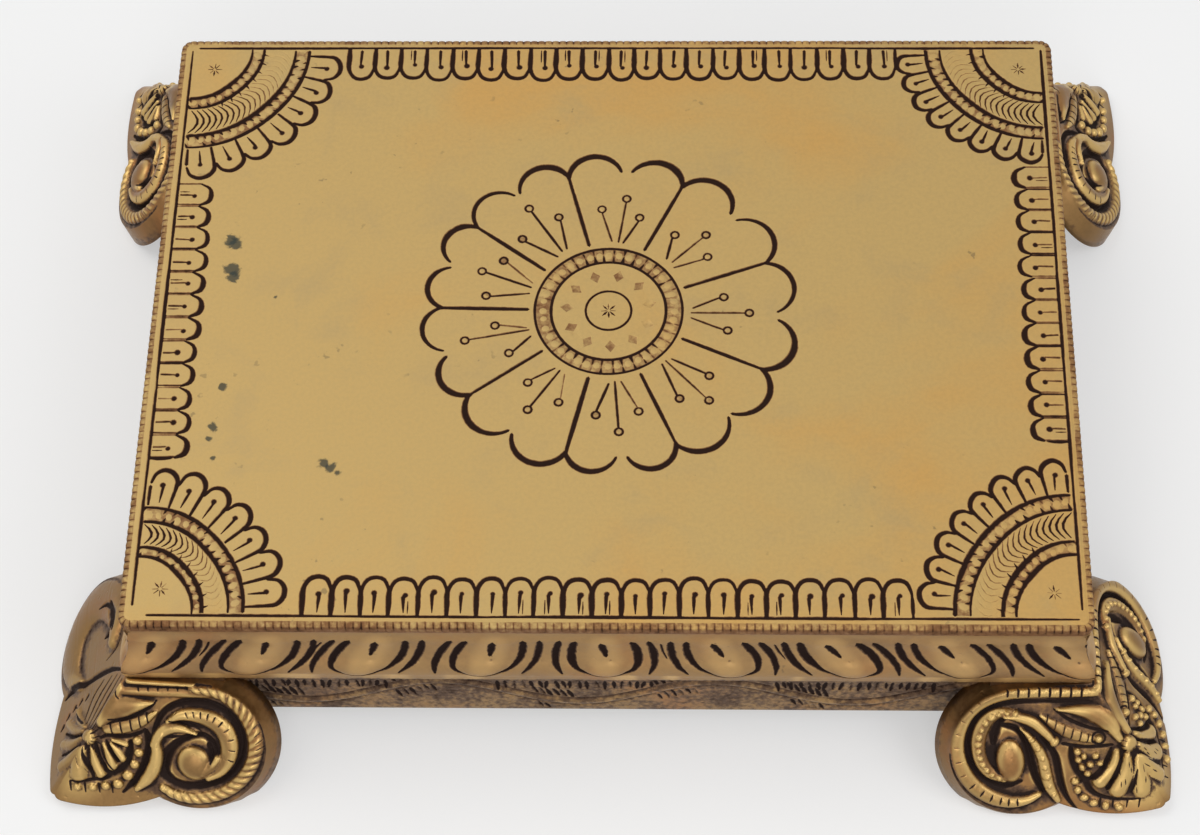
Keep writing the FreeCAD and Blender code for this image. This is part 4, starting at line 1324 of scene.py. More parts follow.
legSet = {
    "splay": 39.0, "wall": 5.5, "volute": (17.7, 20.1), "radius": 18.5, "notchAngle": 125,
    "toeDrop": 35.8, "soleRadius": 40.0, "voluteDraft": 3.5, "toeDraft": 2.2,
    "corner": (126.9, 95.9), "ledge": 31.8, "friezeBack": 2.05, "friezeHeight": 23.0,
    "flange": (26.1, 2.1, 0.5, 22.0), "knuckle": 17.6, "cornerRound": (0.6, 3.2),
    "grid": 0.43, "borderStep": 0.45, "backGrid": 2.4, "wallShares": (0.05, 0.3, 0.65, 1.0),
}
splay = math.radians(legSet["splay"])
sine, cosine = math.sin(splay), math.cos(splay)


def legCurve(*controls):
    return curveThrough(controls, 0.8)


# The sheet of one leg face. A cut takes half widths, depth, ink and the points of its
# curve; a raised form takes half widths, rise, fullness and points.
class LegFace(Engraving):
    def __init__(self):
        super().__init__((-26, -3), (42, 43))
        self.knuckle = np.array((-legSet["knuckle"] * sine, legSet["knuckle"]))

    def cut(self, halves, depth, inkAndShade, *controls):
        self.stroke(legCurve(*controls), halves, depth, inkAndShade)

    def form(self, halves, rise, full, *controls, **more):
        self.ridge(legCurve(*controls), halves, rise, full, **more)

    # The knob at the knuckle, with rays at some angles.
    def star(self, size, rise, angles=(), start=0, end=0, halves=(), inks=(0, 0), dice=None):
        self.bead(self.knuckle, size, rise, sides=12)
        for angle in angles:
            self.line(polar(self.knuckle, angle, start), polar(self.knuckle, angle, end), halves,
                      0.4, dice.uniform(*inks))

    # Dark patina in narrow recesses, painted shade with some patina over the wider low areas
    # between raised work, and a painted pool of light round one place.
    def patinaShadeAndGlow(self, spot, reach, amount):
        # wide reach: painted shade between the raised parts, with some patina and a darker tone
        # overall
        self.tintRecesses(26, 0.75, 0.07)
        self.tintRecesses(12, 1.35)
        # painted pool of light
        self.paintLightPool(spot, reach, amount)
        return self


# The relief of one face of a left leg: dark channels first, raised work in them after.
def carveLeftFace(dice):
    sheet = LegFace()
    sheet.cut([0.5, 1.0, 1.2, 1.1, 1.1, 1.2, 1.3, 1.3, 1.2, 1.3, 1.6, 1.8], 1.3, 1.0, (6.2, 17.1),
              (7.6, 13.2), (9.8, 9.8), (13.5, 7.5), (18, 6.6), (23, 7.6), (27, 10.4), (29.4, 14.8),
              (30, 19.6), (28.4, 25), (24.8, 29.1), (19.8, 31.4), (14.8, 32), (11, 30.8),
              (9, 28.6))
    sheet.cut([1.6, 2.1, 1.9, 1.5, 1.3, 1.2, 1.1, 0.9, 0.5], 1.4, 1.0, (9.4, 29.2), (8.6, 26.6),
              (9.6, 23), (12.4, 19.4), (16, 17.3), (19.4, 16.8), (21.9, 18.6), (22.9, 22),
              (22.6, 25))
    sheet.cut([0.8, 1.3, 1.5, 1.4, 1.3, 1.0, 0.5], 1.1, 1.0, (4.4, 15.4), (5.3, 18.8), (4.9, 22.2),
              (3.7, 25.6), (2, 28.6), (-0.3, 31.4), (-2.8, 34))
    sheet.cut([0.5, 0.8, 0.9, 1.1, 1.4, 1.6, 1.4, 0.8], 1.0, 1.0, (-9.2, 19.3), (-8.7, 23.1),
              (-7.4, 26.4), (-5.6, 28.2), (-3.4, 27.4), (-1.6, 25.4), (-0.4, 22.2), (0.2, 18.8))

    # bar, notched row and the rope round the volute
    sheet.form([1.0, 1.3, 1.0], 1.5, 0.6, (1.0, 0.6), (8, 0.9), (17.6, 1.5))
    sheet.form([1.3, 1.5, 1.5, 1.2], 0.8, 0.6, (-1.4, 3.7), (8, 4.1), (16, 4.3), (22, 4.7))
    for k in range(6):
        x = 3.2 + k * 2.6
        sheet.line((x, 2.2), (x + 0.15, 3.5), [0.42, 0.2], 0.5, 0.8, 0.6)
    sheet.form([1.2, 1.6, 2.0, 2.2, 2.2, 2.1, 2.0, 2.0, 1.9, 1.8, 1.6, 1.2], 1.5, 0.55,
               (17.4, 3.1), (23.6, 4.1), (27.6, 6.3), (30.9, 9.8), (33.0, 14.6), (33.6, 19.4),
               (32.5, 24.6), (29.7, 29.4), (25.6, 33), (20.8, 35), (15.6, 35.5), (11.2, 34.4),
               (8.2, 32.4), pitch=2.4)
    rope = legCurve((25.6, 4.1), (29.4, 7.2), (32.6, 11.4), (34.4, 16.4), (34.7, 20.6),
                    (33.2, 26.4), (29.8, 31.2), (25.4, 34.5), (19.6, 36.4), (13.4, 36.1))
    for k in range(2, int(len(rope) * 0.6), 3):
        way = unitTo(rope[k - 1], rope[k + 1])
        side = np.array((-way[1], way[0]))
        sheet.line(rope[k] - side * 0.9, rope[k] + side * 1.1 + way * 0.9, [0.14, 0.34, 0.14], 0.5,
                   0.34 * dice.uniform(0.6, 1.3))

    # inner scroll: a smooth band that turns into the eye, ticked along its top
    sheet.form([0.5, 1.6, 2.2, 2.6, 2.7, 2.7, 2.5, 2.0, 1.2], 2.0, 0.5, (10.4, 12.4), (14, 10.6),
               (18.4, 10.6), (22.6, 12.2), (25.4, 15), (26.6, 19), (26.1, 23.2), (23.8, 27),
               (20.6, 29))
    for x, y in ((15.6, 9.5), (17.6, 9.3), (19.6, 9.5), (21.6, 10.0), (23.4, 10.9), (25.2, 12.3),
            (26.8, 14.4), (27.9, 17.4), (28.1, 20.8), (27.5, 24.0)):
        to = unitTo((x, y), (19.5, 18.5))
        sheet.line((x, y), (x, y) + to * 1.5, [0.3, 0.16], 0.45, dice.uniform(0.4, 0.8), 0.6)
    sheet.bead((17.0, 24.9), 4.7, 2.5, 1.12, 1.2, 16)
    sheet.form([1.8, 1.9, 1.4], 2.1, 0.5, (19.0, 27.4), (21.6, 25.6), (23.2, 23.4))
    sheet.cut([0.9, 1.0, 0.3], 1.4, 1.0, (21.2, 19.6), (22.0, 22.0), (21.4, 24.6))
    # spike over the dark crescent and the long stem that runs down to the notch
    sheet.form([1.0, 1.7, 1.9, 1.3, 0.3], 1.6, 0.5, (6.2, 19.4), (8.0, 16.6), (10.8, 14.6),
               (14.2, 14.6), (18.2, 16.1))
    sheet.cut([0.35, 0.55, 0.5, 0.2], 0.8, 0.9, (11.2, 11.9), (13.9, 12.8), (17.3, 14),
              (19.3, 15.6))
    sheet.cut([0.25, 0.6, 0.6, 0.2], 0.8, 1.0, (7.4, 18.1), (9.4, 17.2), (12, 17.3), (15, 17.0))
    sheet.form([1.0, 1.6, 2.0, 2.2, 1.9, 1.0], 1.9, 0.55, (8.8, 16.2), (7.2, 18.8), (7.1, 22.4),
               (6.2, 26), (4.2, 29.4), (1.2, 32.4))

    # smooth leaf over a black line, then a band of plates
    sheet.form([1.2, 3.6, 3.6, 2.2, 0.4], 1.5, 0.7, (-7.6, 13.4), (-4.4, 9.2), (-0.6, 8.2),
               (3.4, 7.6), (7.2, 6.9))
    sheet.form([0.9, 2.4, 1.6], 1.1, 0.8, (-1.2, 2.6), (-3.4, 6.6), (-6.4, 11.6), edged=False)
    sheet.cut([0.35, 0.6, 0.65, 0.7, 0.6, 0.35], 0.9, 1.0, (-5.0, 11.8), (-2.6, 12.2), (0.4, 11.4),
              (3.7, 9.8), (6.2, 8.3), (7.9, 6.6))
    sheet.form([1.5, 1.9, 1.8, 1.5, 0.6], 1.0, 0.4, (-5.6, 14.9), (-1.5, 14.4), (1.5, 13.6),
               (4.5, 12.1), (7.4, 10.1))
    for x, y in ((-4.6, 14.9), (-2.0, 14.5), (0.7, 13.9), (3.1, 12.9), (5.2, 11.7)):
        sheet.line((x - 0.2, y - 1.5), (x + 0.2, y + 1.5), [0.3, 0.24], 0.6, 0.75, 0.8)
    sheet.cut([0.5, 0.75, 0.8, 0.75, 0.7, 0.5], 0.9, 1.0, (-7.7, 17.8), (-5.8, 16.9), (-2.9, 17.2),
              (0.1, 17.1), (2.5, 16.3), (4.3, 15.4))
    sheet.cut([0.2, 0.42, 0.15], 0.5, 0.9, (-2.9, 2.2), (-2.9, 4.2), (-2.0, 5.8))

    # shell: a few lobes between black flutes, pellets outside them
    for path, halves in (
            (((-7.0, 19.2), (-5.8, 22.6), (-5.2, 26)), [0.5, 1.3, 1.5]),
            (((-5.0, 19.2), (-3.4, 21.6), (-2.2, 23.8)), [0.5, 1.2, 1.2]),
            (((-4.6, 18.2), (-2.6, 18.8), (-0.9, 19.6)), [0.4, 0.8, 0.8]),
            (((-10.3, 20.4), (-9.6, 24.8), (-8.4, 28.4)), [0.5, 1.5, 1.5])):
        sheet.form(halves, 1.1, 0.6, *path, edged=False)
    sheet.form([1.0, 3.2, 2.4], 1.2, 0.7, (-12.6, 21.4), (-14.2, 25), (-14.4, 28.6), edged=False)
    for path, halves in (
            (((-6.3, 18.4), (-5.2, 21.4), (-3.3, 24.6)), [0.3, 0.65, 0.8]),
            (((-5.2, 18.4), (-3, 19.6), (-0.8, 20.5)), [0.15, 0.4, 0.4]),
            (((-7.9, 19.6), (-7.2, 23.4), (-4.9, 27)), [0.15, 0.4, 0.3]),
            (((-12.9, 21), (-12.2, 24.5), (-10.9, 27.4), (-10.4, 29.6)), [0.3, 0.75, 0.85, 0.5]),
            (((-16.9, 30.6), (-13.8, 30.7), (-10.4, 30.1), (-8.3, 30), (-6.2, 29.1)),
             [0.3, 0.55, 0.6, 0.7, 0.9])):
        sheet.cut(halves, 0.9, 1.0, *path)
    for x, y, size in ((2.1, 18.4, 1.35), (2.3, 21.9, 1.4), (0.9, 25.4, 1.4), (-1.1, 28.7, 1.6),
            (-3.9, 31.3, 1.5), (-7.3, 31.9, 1.3), (-10.8, 32.3, 1.2), (-14.9, 32.3, 1.1)):
        sheet.bead((x, y), size, 1.4, 1.05, 0.5, 10)
    for x, y in ((-16.9, 30.9), (-13.0, 31.4), (-9.2, 31.5), (-5.7, 31.6)):
        sheet.line((x, y), (x + 0.1, y + 2.6), [0.42, 0.2], 0.6, 0.95, 0.8)

    # chisel lines up the corner from a bright star
    for path in (
            ((-12.2, 16.6), (-13.2, 13.2), (-13.6, 10.2)),
            ((-10.5, 14.4), (-10.3, 9.4), (-9.3, 4.6)),
            ((-9.3, 15), (-8.7, 9.8), (-6.9, 3.6)),
            ((-8.3, 12.4), (-6.2, 6.8), (-3.9, 2.4)),
            ((-7.2, 9.4), (-5.2, 4.8), (-3.4, 1.6))):
        sheet.cut([0.15, 0.42, 0.36, 0.15], 0.5, dice.uniform(0.75, 1.0), *path)
    sheet.star(2.3, 1.6, range(-40, 140, 36), 1.3, 3.6, [0.12, 0.34, 0.2], (0.5, 0.9), dice)
    for k in range(7):
        x = -15.5 + k * 3.0 + dice.uniform(-0.6, 0.6)
        y = 22 + dice.uniform(-2, 5)
        if x < -10.5:
            sheet.line((x, y), (x + 1.2, y + 2.2), [0.1, 0.2, 0.1], 0.3, 0.5)
    # patina, painted shade, and a painted pool of light round the shell
    return sheet.patinaShadeAndGlow((-15, 29), 13, 0.65)


# The same for a right leg, which was chased by hand in its own way.
def carveRightFace(dice):
    sheet = LegFace()
    sheet.cut([0.4, 0.5, 0.6, 0.7, 0.8, 0.9, 1.1, 1.3, 1.3, 1.2, 1.1, 1.0, 0.9, 0.6], 1.1, 1.0,
              (-0.4, 5.3), (5, 5.2), (10.2, 5.3), (15.8, 5.4), (20.6, 5.6), (25, 6.6), (28.8, 9),
              (31, 12.4), (31.8, 17), (30.8, 22.2), (28.2, 26.4), (24.4, 29.2), (20.4, 30.2),
              (17, 28.8))
    sheet.cut([0.5, 1.4, 1.7, 0.8], 1.3, 1.0, (21.8, 9.8), (23.6, 12), (24.6, 14.8), (24.9, 17.8))
    sheet.cut([0.7, 1.1, 1.1, 1.0, 1.1, 1.2, 1.2, 0.8], 1.3, 1.0, (24.2, 12.2), (20.9, 12.7),
              (18.4, 13.9), (16.6, 16.7), (15.4, 20.1), (14.4, 23.9), (13.2, 27.7), (11.2, 31.6))
    sheet.cut([0.4, 0.9, 1.2, 1.3, 1.2, 0.9, 0.5], 1.3, 1.0, (12.6, 15.6), (10.3, 18.1),
              (8.3, 21.6), (7.3, 25.9), (6.2, 30.2), (4.6, 33.8), (2, 37.2))
    sheet.cut([0.7, 1.2, 1.6, 1.5, 0.8, 0.6, 0.5, 0.3], 0.9, 1.0, (4.4, 18.6), (4.0, 22),
              (2.4, 25.6), (0.4, 28), (-1.4, 31.4), (-4.4, 33.2), (-9, 34), (-14.8, 33.8))

    # bar with beads, the smooth outer band and its few ticks
    sheet.form([1.3, 1.5, 1.7, 1.9, 2.2, 2.3, 2.2, 2.1, 2.1, 2.2, 2.3, 2.2, 1.8, 0.9], 1.5, 0.5,
               (-1.2, 2.4), (8, 2.5), (16, 2.5), (22.6, 2.9), (28, 5), (32, 9), (34, 14.4),
               (34.2, 20), (32.6, 25.6), (29.4, 30.2), (25, 33.4), (20, 34.8), (15.4, 34.2),
               (12.2, 32.4))
    for k in range(8):
        x = 1.2 + k * 2.75
        sheet.bead((x, 2.3), 1.0, 1.7, 1.45, math.pi / 2 + 0.1, 8)
        sheet.line((x + 1.35, 1.2), (x + 1.4, 3.6), [0.36, 0.42, 0.3], 0.7, 0.95)
    for x, y in ((29.2, 5.2), (31.4, 7.6), (33.2, 10.8), (34.4, 14.6), (34.8, 18.6), (34.2, 23),
            (32.8, 27), (30.4, 30.4), (27.6, 32.6), (25.0, 34.0), (22.4, 34.9), (20.2, 35.2),
            (17.8, 35.2)):
        to = unitTo((x, y), (19.5, 19.5))
        low = y > 29
        sheet.line((x, y) - to * 0.4, (x, y) + to * (1.6 if low else 1.0),
                   [0.2, 0.4 if low else 0.26, 0.16], 0.5, 0.8 if low else 0.35)

    # inner scroll with small knobs, the swoosh across it, the eye and the beaded stem
    scroll = legCurve((17.4, 9.2), (21, 8.4), (24.6, 9), (27.2, 11.4), (28.6, 15), (28.8, 19),
                      (27.8, 23), (25.4, 26.2), (21.6, 28))
    sheet.ridge(scroll, [0.6, 1.3, 1.8, 2.1, 2.1, 2.0, 2.0, 1.9, 1.2], 1.2)
    for k in range(3, len(scroll) - 2, 3):
        sheet.bead(scroll[k], 1.05 * dice.uniform(0.8, 1.15), 1.9, 1.25, dice.uniform(0, 3))
    sheet.form([0.5, 1.5, 1.7, 1.5, 1.1], 1.7, 0.5, (22.4, 9.6), (18.6, 9.8), (14.8, 11.2),
               (11.8, 13.8), (9.2, 16.6))
    sheet.bead((8.9, 16.8), 1.3, 2.0, 1.3, 1.0, 10)
    sheet.bead((20.2, 22.6), 3.9, 2.5, 1.65, math.pi / 2 + 0.12, 18)
    stem = legCurve((18.0, 12.9), (15.4, 15.6), (13.2, 18.8), (11.6, 22.4), (10.6, 26.4),
                    (9.4, 30.4), (7.2, 34))
    sheet.ridge(stem, [0.4, 1.0, 1.5, 1.7, 1.7, 1.6, 1.0], 1.5)
    for k in range(6, len(stem) - 3, 4):
        sheet.bead(stem[k], dice.uniform(0.8, 1.2), 2.0, 1.2, dice.uniform(0, 3))
    sheet.line((24.2, 18.4), (24.2, 22.8), [0.3, 0.4, 0.2], 0.6, 0.9, 0.8)

    # bright leaf, its black line, plates and one bead in a ring
    sheet.form([0.4, 1.7, 2.8, 2.3, 1.1], 1.6, 0.7, (8.8, 7.3), (3.4, 7.6), (-1.4, 8.8),
               (-5.4, 12), (-8.2, 16))
    sheet.cut([0.3, 0.6, 0.65, 0.6, 0.6], 0.9, 1.0, (9.4, 7.6), (5.8, 10.3), (2, 12.2),
              (-1.8, 13.4), (-4.8, 13.7))
    sheet.form([0.5, 1.3, 1.7, 1.7, 1.2], 0.9, 0.4, (12.8, 9.4), (9.9, 11.6), (6, 13.9),
               (2.2, 15.4), (-0.5, 16.1))
    for x, y in ((11.2, 10.6), (8.9, 12.2), (6.6, 13.6), (4.4, 14.6), (2.2, 15.4), (0.2, 16)):
        sheet.line((x - 0.3, y - 1.3), (x + 0.2, y + 1.4), [0.22, 0.28, 0.2], 0.5, 0.6, 0.8)
    sheet.ring((-2.7, 16.0), 1.75, 0.4, 0.6, 0.9, 16)
    sheet.bead((-2.7, 16.0), 1.2, 1.5, sides=10)
    sheet.cut([0.6, 0.7, 0.6, 0.7, 0.5], 0.9, 1.0, (6.6, 17.7), (3.5, 18.3), (0.1, 18.6),
              (-3.6, 18.3), (-6.4, 17.9))

    # shell: broad smooth petals with thick curved flutes, knobs in the dark round it
    for path, halves in (
            (((-7.6, 19.6), (-7.0, 24.0), (-3.8, 28.6)), [0.9, 2.1, 2.2]),
            (((-10.4, 20.6), (-10.4, 26.0), (-8.6, 31)), [1.1, 2.5, 2.5]),
            (((-13.4, 22.4), (-14.6, 27.6), (-14.8, 31.2)), [1.2, 2.8, 2.4])):
        sheet.form(halves, 1.5, 0.6, *path, edged=False)
    for path, halves in (
            (((-6.2, 18.8), (-5.3, 22.4), (-3.6, 25.8), (-1.1, 28), (1.1, 28.8)),
             [0.4, 0.8, 0.8, 0.8, 0.9]),
            (((-8.8, 21.4), (-7.8, 25.8), (-5.8, 30.8)), [0.4, 1.0, 0.7]),
            (((-13.2, 24.6), (-12.8, 28.6), (-12.2, 31.7)), [0.2, 0.55, 0.3])):
        sheet.cut(halves, 1.0, 1.0, *path)
    for x, y, size in ((2.7, 19.9, 1.0), (2.4, 22.3, 1.0), (1.3, 24.6, 1.05), (-0.2, 26.4, 1.0),
            (0.9, 21.2, 0.9), (-0.9, 23.6, 0.95), (-2.2, 21.0, 1.0), (-3.4, 23.2, 0.9),
            (2.8, 28.6, 1.1), (2.0, 31.2, 1.1), (0.2, 33.4, 1.15), (-2.4, 35.0, 1.1),
            (-5.6, 35.8, 1.1), (-9.2, 36.2, 1.1)):
        sheet.bead((x, y), size, 1.3, 1.2, dice.uniform(0, 3), 8)
    for x in (-14.6, -11.4, -7.6, -4.2):
        sheet.line((x, 34.0), (x + 0.2, 36.4), [0.36, 0.2], 0.6, 0.9, 0.8)

    for path in (
            ((-10.2, 15), (-8.6, 9.8), (-5.8, 3.8)),
            ((-9.2, 15.4), (-7.0, 9.4), (-4.2, 3.2)),
            ((-8.4, 13.4), (-5.4, 7.2), (-2.8, 2.6)),
            ((-7.4, 11.6), (-4.4, 6.2), (-1.8, 2.6)),
            ((-9.4, 11.6), (-7.4, 6.6), (-5, 2.4))):
        sheet.cut([0.15, 0.36, 0.3, 0.15], 0.45, dice.uniform(0.6, 1.0), *path)
    sheet.star(2.5, 1.7, range(-30, 130, 40), 1.6, 3.4, [0.12, 0.3, 0.15], (0.4, 0.8), dice)
    for k in range(9):
        x = -15.5 + k * 0.9 + dice.uniform(-0.4, 0.4)
        y = 24 + dice.uniform(-2, 6)
        sheet.line((x, y), (x - 0.2, y + 1.6), [0.1, 0.22, 0.1], 0.35, 0.6)
    # patina, painted shade, and a painted pool of light round the shell
    return sheet.patinaShadeAndGlow((-14, 28), 14, 0.9)


# The worn outer side of the left front leg: smooth, with a groove and chisel lines.
def carveWornFace(dice):
    sheet = LegFace()
    ring = [onVolute(12.0, a) for a in range(-110, 160, 8)]
    sheet.ridge(ring, [2.0, 5.6, 6.0, 6.0, 5.2, 2.0], 1.5, 0.6, False)
    for path, halves, inkAndShade in (
            (((3.4, 2.6), (5.4, 8), (6.2, 15), (6.2, 23), (6.6, 30), (5.6, 34)),
             [0.5, 1.1, 1.3, 1.1, 1.2, 0.7], 1.0),
            (((17.4, 8.4), (21.2, 9.0), (26.0, 10.8)), [0.9, 2.3, 0.8], 1.0),
            (((19.6, 9.4), (17.6, 11.6), (16.8, 14.4)), [1.6, 1.3, 0.3], 1.0),
            (((24.6, 10.6), (26.2, 13.4), (26.4, 17.4)), [1.3, 0.8, 0.2], 0.9),
            (((9.4, 12), (11.4, 7.4), (14.6, 4.6)), [0.2, 0.6, 0.2], 0.4)):
        sheet.cut(halves, 0.8, inkAndShade, *path)
    for path in (
            ((-10.6, 16), (-6.4, 8), (-1.6, 1.6)),
            ((-9.6, 16.4), (-4.6, 8.6), (0.4, 1.8)),
            ((-8.6, 17), (-3.2, 9.6), (1.8, 2.8)),
            ((-7.6, 18), (-1.8, 11.6), (2.8, 4.8)),
            ((-6.8, 19.6), (-0.8, 14.2), (3.4, 7.8)),
            ((-6.4, 21.6), (0.4, 17.4), (3.8, 12.2))):
        sheet.cut([0.15, 0.46, 0.4, 0.18], 0.5, dice.uniform(0.7, 1.0), *path)
    for path, halves in (
            (((-7.6, 19.6), (-4.6, 23), (-1.2, 25)), [0.6, 1.4, 1.2]),
            (((-8.4, 20.6), (-6.4, 25.4), (-3.2, 29.4)), [0.6, 1.6, 1.4]),
            (((-10.4, 21), (-10.2, 26.4), (-8.6, 31.4)), [0.7, 1.7, 1.5]),
            (((-13, 22), (-14.4, 27), (-14.8, 31.6)), [0.8, 2.0, 1.6])):
        sheet.form(halves, 1.0, 0.7, *path, edged=False)
    for path in (
            ((-6.4, 20.4), (-3.4, 24), (0.4, 26.6)),
            ((-9.2, 20.8), (-8.2, 26), (-5.6, 31)),
            ((-11.8, 21.4), (-12.2, 26.6), (-11.6, 31.8))):
        sheet.cut([0.3, 0.7, 0.5], 0.7, 0.9, *path)
    for x, y in ((2.2, 20.4), (2.0, 23.8), (1.2, 27.2), (-0.2, 30.4), (-2.6, 33)):
        sheet.line((x, y), (x - 1.2, y + 1.3), [0.8, 0.3], 0.5, 0.9)
    sheet.star(2.3, 1.6)
    # patina and painted shade over the wider low areas, and a darker tone overall
    sheet.tintRecesses(26, 0.62, 0.12)
    sheet.high = np.maximum(sheet.high * 0.5, 0.3)
    return sheet


def onVolute(radius, angle):
    return polar(legSet["volute"], angle, radius)


# Border of a face at a depth behind it, from the top of the arris round the volute
# and along the sole to the toe.
def faceBorder(share):
    s = legSet
    step, sole = s["borderStep"], s["soleRadius"]
    back = s["wall"] * share * cosine
    radius = s["radius"] + s["voluteDraft"] * share
    toeDrop = s["toeDrop"] + s["toeDraft"] * share
    start, toe = np.array((back, 0.0)), np.array((-toeDrop * sine + back, toeDrop))
    crown, notch = onVolute(radius, -90), onVolute(radius, s["notchAngle"])
    top = start + (crown - start) * np.linspace(0, 1, int(18 / step))[:, None]
    volute = [onVolute(radius, angle)
              for angle in np.linspace(-90, s["notchAngle"], int(69 / step))]
    chord = np.linalg.norm(toe - notch)
    sagitta = sole - math.sqrt(sole ** 2 - chord ** 2 / 4)
    t = np.linspace(0, 1, int(31 / step))[:, None]
    arc = notch + (toe - notch) * t + np.array((0, 4 * sagitta)) * t * (1 - t)
    return np.vstack([top, volute[1:], arc[1:]])


# Place of a point of a face, in the leg's own frame, for a rise over the face.
def faceToLeg(uv, rise):
    rise = np.broadcast_to(rise, len(uv))
    toArris = np.clip(1 - (uv[:, 0] + uv[:, 1] * sine) / 3.0, 0, 1) ** 2 * (rise >= 0)
    normal = np.array((0, cosine, sine))
    shared = np.array((cosine, cosine, 2 * sine)) / (1 + sine ** 2)
    way = normal + (shared - normal) * toArris[:, None]
    flat = np.column_stack([-uv[:, 0], uv[:, 1] * sine, -uv[:, 1] * cosine])
    return flat + way * rise[:, None]


# Keeps the back of the leg out of the frame and the sole on the ground.
def seatLeg(places, both):
    s = legSet
    low = -s["friezeBack"]
    inside = (places[:, 2] > -s["friezeHeight"]) & (places[:, 0] < low) & (places[:, 1] < low)
    places[:, 1] = np.where(inside, low, places[:, 1])
    if both:
        places[:, 0] = np.where(inside, low, places[:, 0])
    places[:, 2] = np.clip(places[:, 2], -s["ledge"], None)
    return places


# Rounds the corner where the two faces meet, more so towards the toe.
def roundCorner(places):
    atTop, atToe = legSet["cornerRound"]
    drop = np.clip(-places[:, 2] / 28, 0, 1)
    radius = (atTop + (atToe - atTop) * drop ** 2)[:, None]
    edge = -places[:, 2:3] * math.tan(splay)
    fromCentre = radius - (edge - places[:, :2])
    reach = fromCentre.max(axis=1)
    near = fromCentre.min(axis=1) > 0
    scale = np.where(near, reach / np.maximum(np.linalg.norm(fromCentre, axis=1), 1e-6), 1)
    places[:, :2] = edge - radius + fromCentre * scale[:, None]
    return places


# Points inside the border of a face: in the volute, or in the toe beside it.
def faceGrid():
    s = legSet
    step, (centreU, centreV) = s["grid"], s["volute"]
    us = np.arange(-24, 38, step)
    grid = []
    for row, v in enumerate(np.arange(-1, 40, step * 0.866)):
        for u in us + (row % 2) * step / 2:
            inVolute = math.hypot(u - centreU, v - centreV) < s["radius"] - 0.3
            inToe = u + v * sine > 0.3 and v > 0.3 + 0.09 * u and u < 17.7 and v < 39
            if inVolute or (inToe and (u < 7 or v < 20)):
                grid.append((u, v))
    return grid


# Border and triangles of the hollow back sheet, on a coarse grid.
def backSheet():
    border = faceBorder(1.0)
    toe, top = border[[-1, 0]]
    arris = toe + (top - toe) * np.linspace(0, 1, 24)[1:-1, None]
    loop = np.vstack([border, arris])
    step = legSet["backGrid"]
    grid = np.array([(u, v) for u in np.arange(-26, 44, step) for v in np.arange(-4, 42, step)])
    grid = grid[isInside(grid, loop)]
    xy, faces, _, _, origin = Engraving((-26, -6), (44, 44), 1.0).mesh(loop, grid)
    return xy, faces, origin, len(border), arris


# One face of a leg with its walls and back, and the points on the corner in order.
def shapeFace(sheet, guide):
    wall = legSet["wall"]
    front = faceBorder(0)
    toe = front[-1]
    along = np.linspace(0, 1, int(42 / legSet["borderStep"]))[1:-1, None]
    arris = toe + (np.zeros(2) - toe) * along
    border = np.vstack([front, arris])
    xy, faces, height, inkAndShade, origin = sheet.mesh(border, faceGrid())
    print("face sheet", len(xy), len(faces))
    # both faces follow one line of heights where they meet
    onLine = guide.height(np.column_stack([-xy[:, 1] * sine, xy[:, 1]]))
    share = np.clip((xy[:, 0] + xy[:, 1] * sine) / 1.4, 0, 1)
    height = onLine + (height - onLine) * share * share * (3 - 2 * share)

    # walls with draft
    # ink carries filling, patina and painted shade; high carries rubbed wear and a painted pool of
    # light
    stack, inks, highs = [faceToLeg(xy, height)], [inkAndShade], [sheet.sample(sheet.high, xy)]
    rows = [[origin[i] for i in range(len(front))]]
    shared = [origin[i] for i in range(len(front) - 1, len(border))] + [origin[0]]
    total = len(xy)
    for share in legSet["wallShares"]:
        ring = faceToLeg(faceBorder(share), -wall * share)
        ends = seatLeg(ring[[0, -1]].copy(), True)
        ring = seatLeg(ring, False)
        ring[[0, -1]] = ends
        rows.append(range(total, total + len(ring)))
        total += len(ring)
        shared += [rows[-1][0], rows[-1][-1]]
        stack.append(ring)
        inks.append(np.full(len(ring), 0.0 if share < 0.5 else 0.1))
        highs.append(np.full(len(ring), 0.3 * (1 - share)))

    # the back, whose border points are those of the last wall row
    backXy, backFaces, backOrigin, edge, innerArris = backSheet()
    number = np.full(len(backXy), -1)
    for i in range(edge):
        number[backOrigin[i]] = rows[-1][i]
    fresh = np.flatnonzero(number < 0)
    number[fresh] = total + np.arange(len(fresh))
    innerIndex = [number[backOrigin[edge + i]] for i in range(len(innerArris))]
    stack.append(seatLeg(faceToLeg(backXy, -wall), False)[fresh])
    inks.append(np.full(len(fresh), 0.2))
    highs.append(np.zeros(len(fresh)))
    places = np.vstack(stack)
    places[innerIndex] = seatLeg(faceToLeg(innerArris, -wall), True)
    places[:, 2] = np.clip(places[:, 2], -legSet["ledge"], None)
    faces = np.vstack([faces[:, ::-1], np.array(strip(rows)), number[backFaces]])
    return places, faces, np.concatenate(inks), np.concatenate(highs), shared + innerIndex


def boxFaces(low, high, start):
    places = [(x, y, z) for x in (low[0], high[0]) for y in (low[1], high[1])
              for z in (low[2], high[2])]
    quads = [(0, 1, 3, 2), (4, 6, 7, 5), (0, 4, 5, 1), (2, 3, 7, 6), (0, 2, 6, 4), (1, 5, 7, 3)]
    faces = []
    for a, b, c, d in quads:
        faces += [(a + start, b + start, c + start), (a + start, c + start, d + start)]
    return places, faces


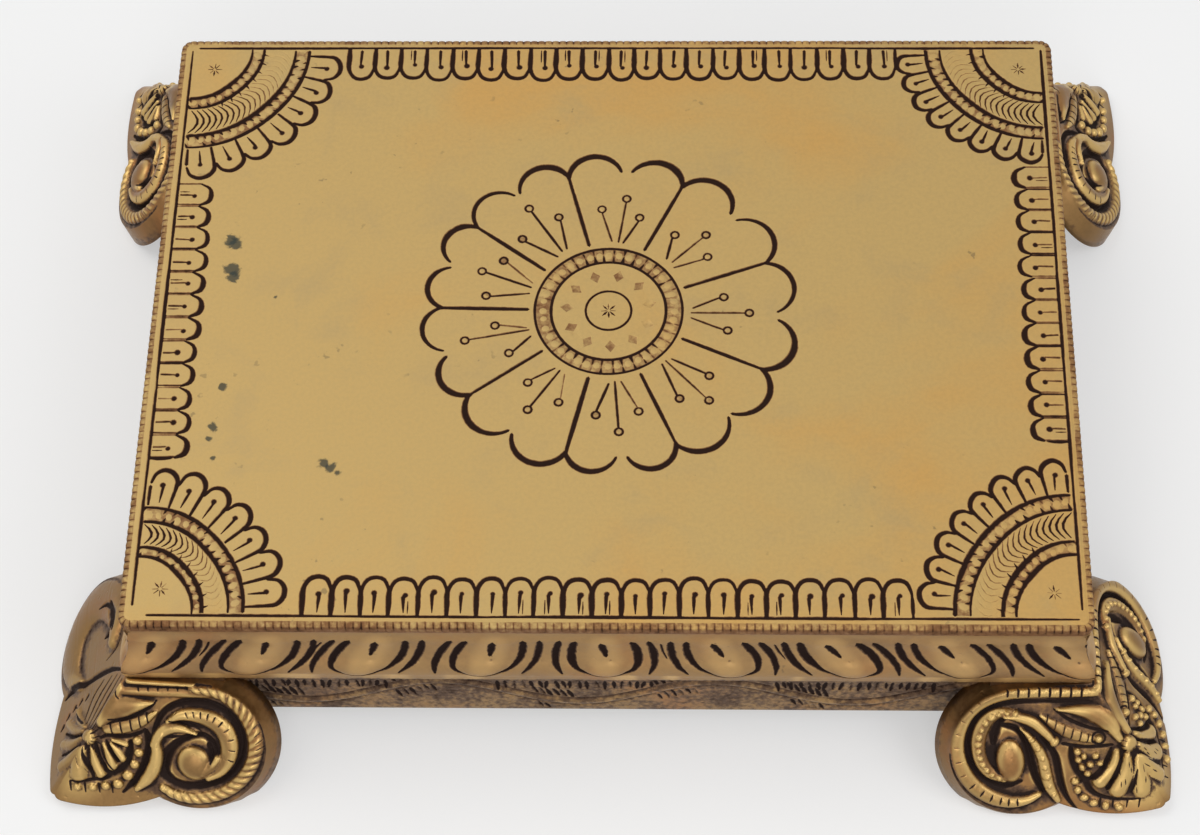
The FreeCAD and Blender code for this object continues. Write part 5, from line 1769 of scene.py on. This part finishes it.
# A leg from two shaped faces; the second is turned over and joined on at the corner.
def makeLeg(name, signX, signY, turned, first, second):
    s = legSet
    places, faces, inkAndShade, high, shared = first
    otherPlaces, otherFaces, otherInkAndShade, otherHigh, otherShared = second
    number = np.full(len(otherPlaces), -1)
    number[otherShared] = shared
    fresh = np.flatnonzero(number < 0)
    number[fresh] = len(places) + np.arange(len(fresh))
    both = roundCorner(np.vstack([places, otherPlaces[fresh][:, [1, 0, 2]]]))
    bothFaces = np.vstack([faces, number[otherFaces][:, ::-1]])
    # flat slivers on the inner corner come from both backs; the first of a pair stays
    _, firstUse = np.unique(np.sort(bothFaces, axis=1), axis=0, return_index=True)
    print(name, "like faces left out:", len(bothFaces) - len(firstUse))
    bothFaces = bothFaces[np.sort(firstUse)]

    # flange against the frieze
    far, near, out, deep = s["flange"]
    cast = len(bothFaces)
    for low, high2 in (((-far, -near, -deep), (-near, -out, -0.05)),
                       ((-near, -far, -deep), (-out, -near, -0.05))):
        extra, more = boxFaces(low, high2, len(both))
        both = np.vstack([both, extra])
        bothFaces = np.vstack([bothFaces, more])
    world = turnAbout(both, turned) + (s["corner"][0] * signX, s["corner"][1] * signY, s["ledge"])
    makePiece(name + "Cast", world, bothFaces,
              {"inkAndShade": np.concatenate([inkAndShade, otherInkAndShade[fresh], np.full(16, 0.25)]),
               "high": np.concatenate([high, otherHigh[fresh], np.zeros(16)])},
              np.arange(len(bothFaces)) < cast, legBrass, name)


leftSheet, rightSheet = carveLeftFace(random.Random(4)), carveRightFace(random.Random(9))
leftShape = shapeFace(leftSheet, leftSheet)
rightShape = shapeFace(rightSheet, leftSheet)
wornShape = shapeFace(carveWornFace(random.Random(2)), leftSheet)
makeLeg("back_right_leg", 1, 1, 0, leftShape, leftShape)
makeLeg("back_left_leg", -1, 1, 90, leftShape, leftShape)
makeLeg("front_left_leg", -1, -1, 180, leftShape, wornShape)
makeLeg("front_right_leg", 1, -1, 270, rightShape, rightShape)


# Pieces kept from the construction get their finish here.
finishes = {"apron": apronBrass, "leg": legBrass, "bracket": insideBrass}
for name, node in nodes.items():
    for slot in node.material_slots:
        slot.link = "OBJECT"
        slot.material = finishes.get(name.split("_")[-1], fastenerBrass)
    print("kept node", name, len(node.material_slots), "slots")
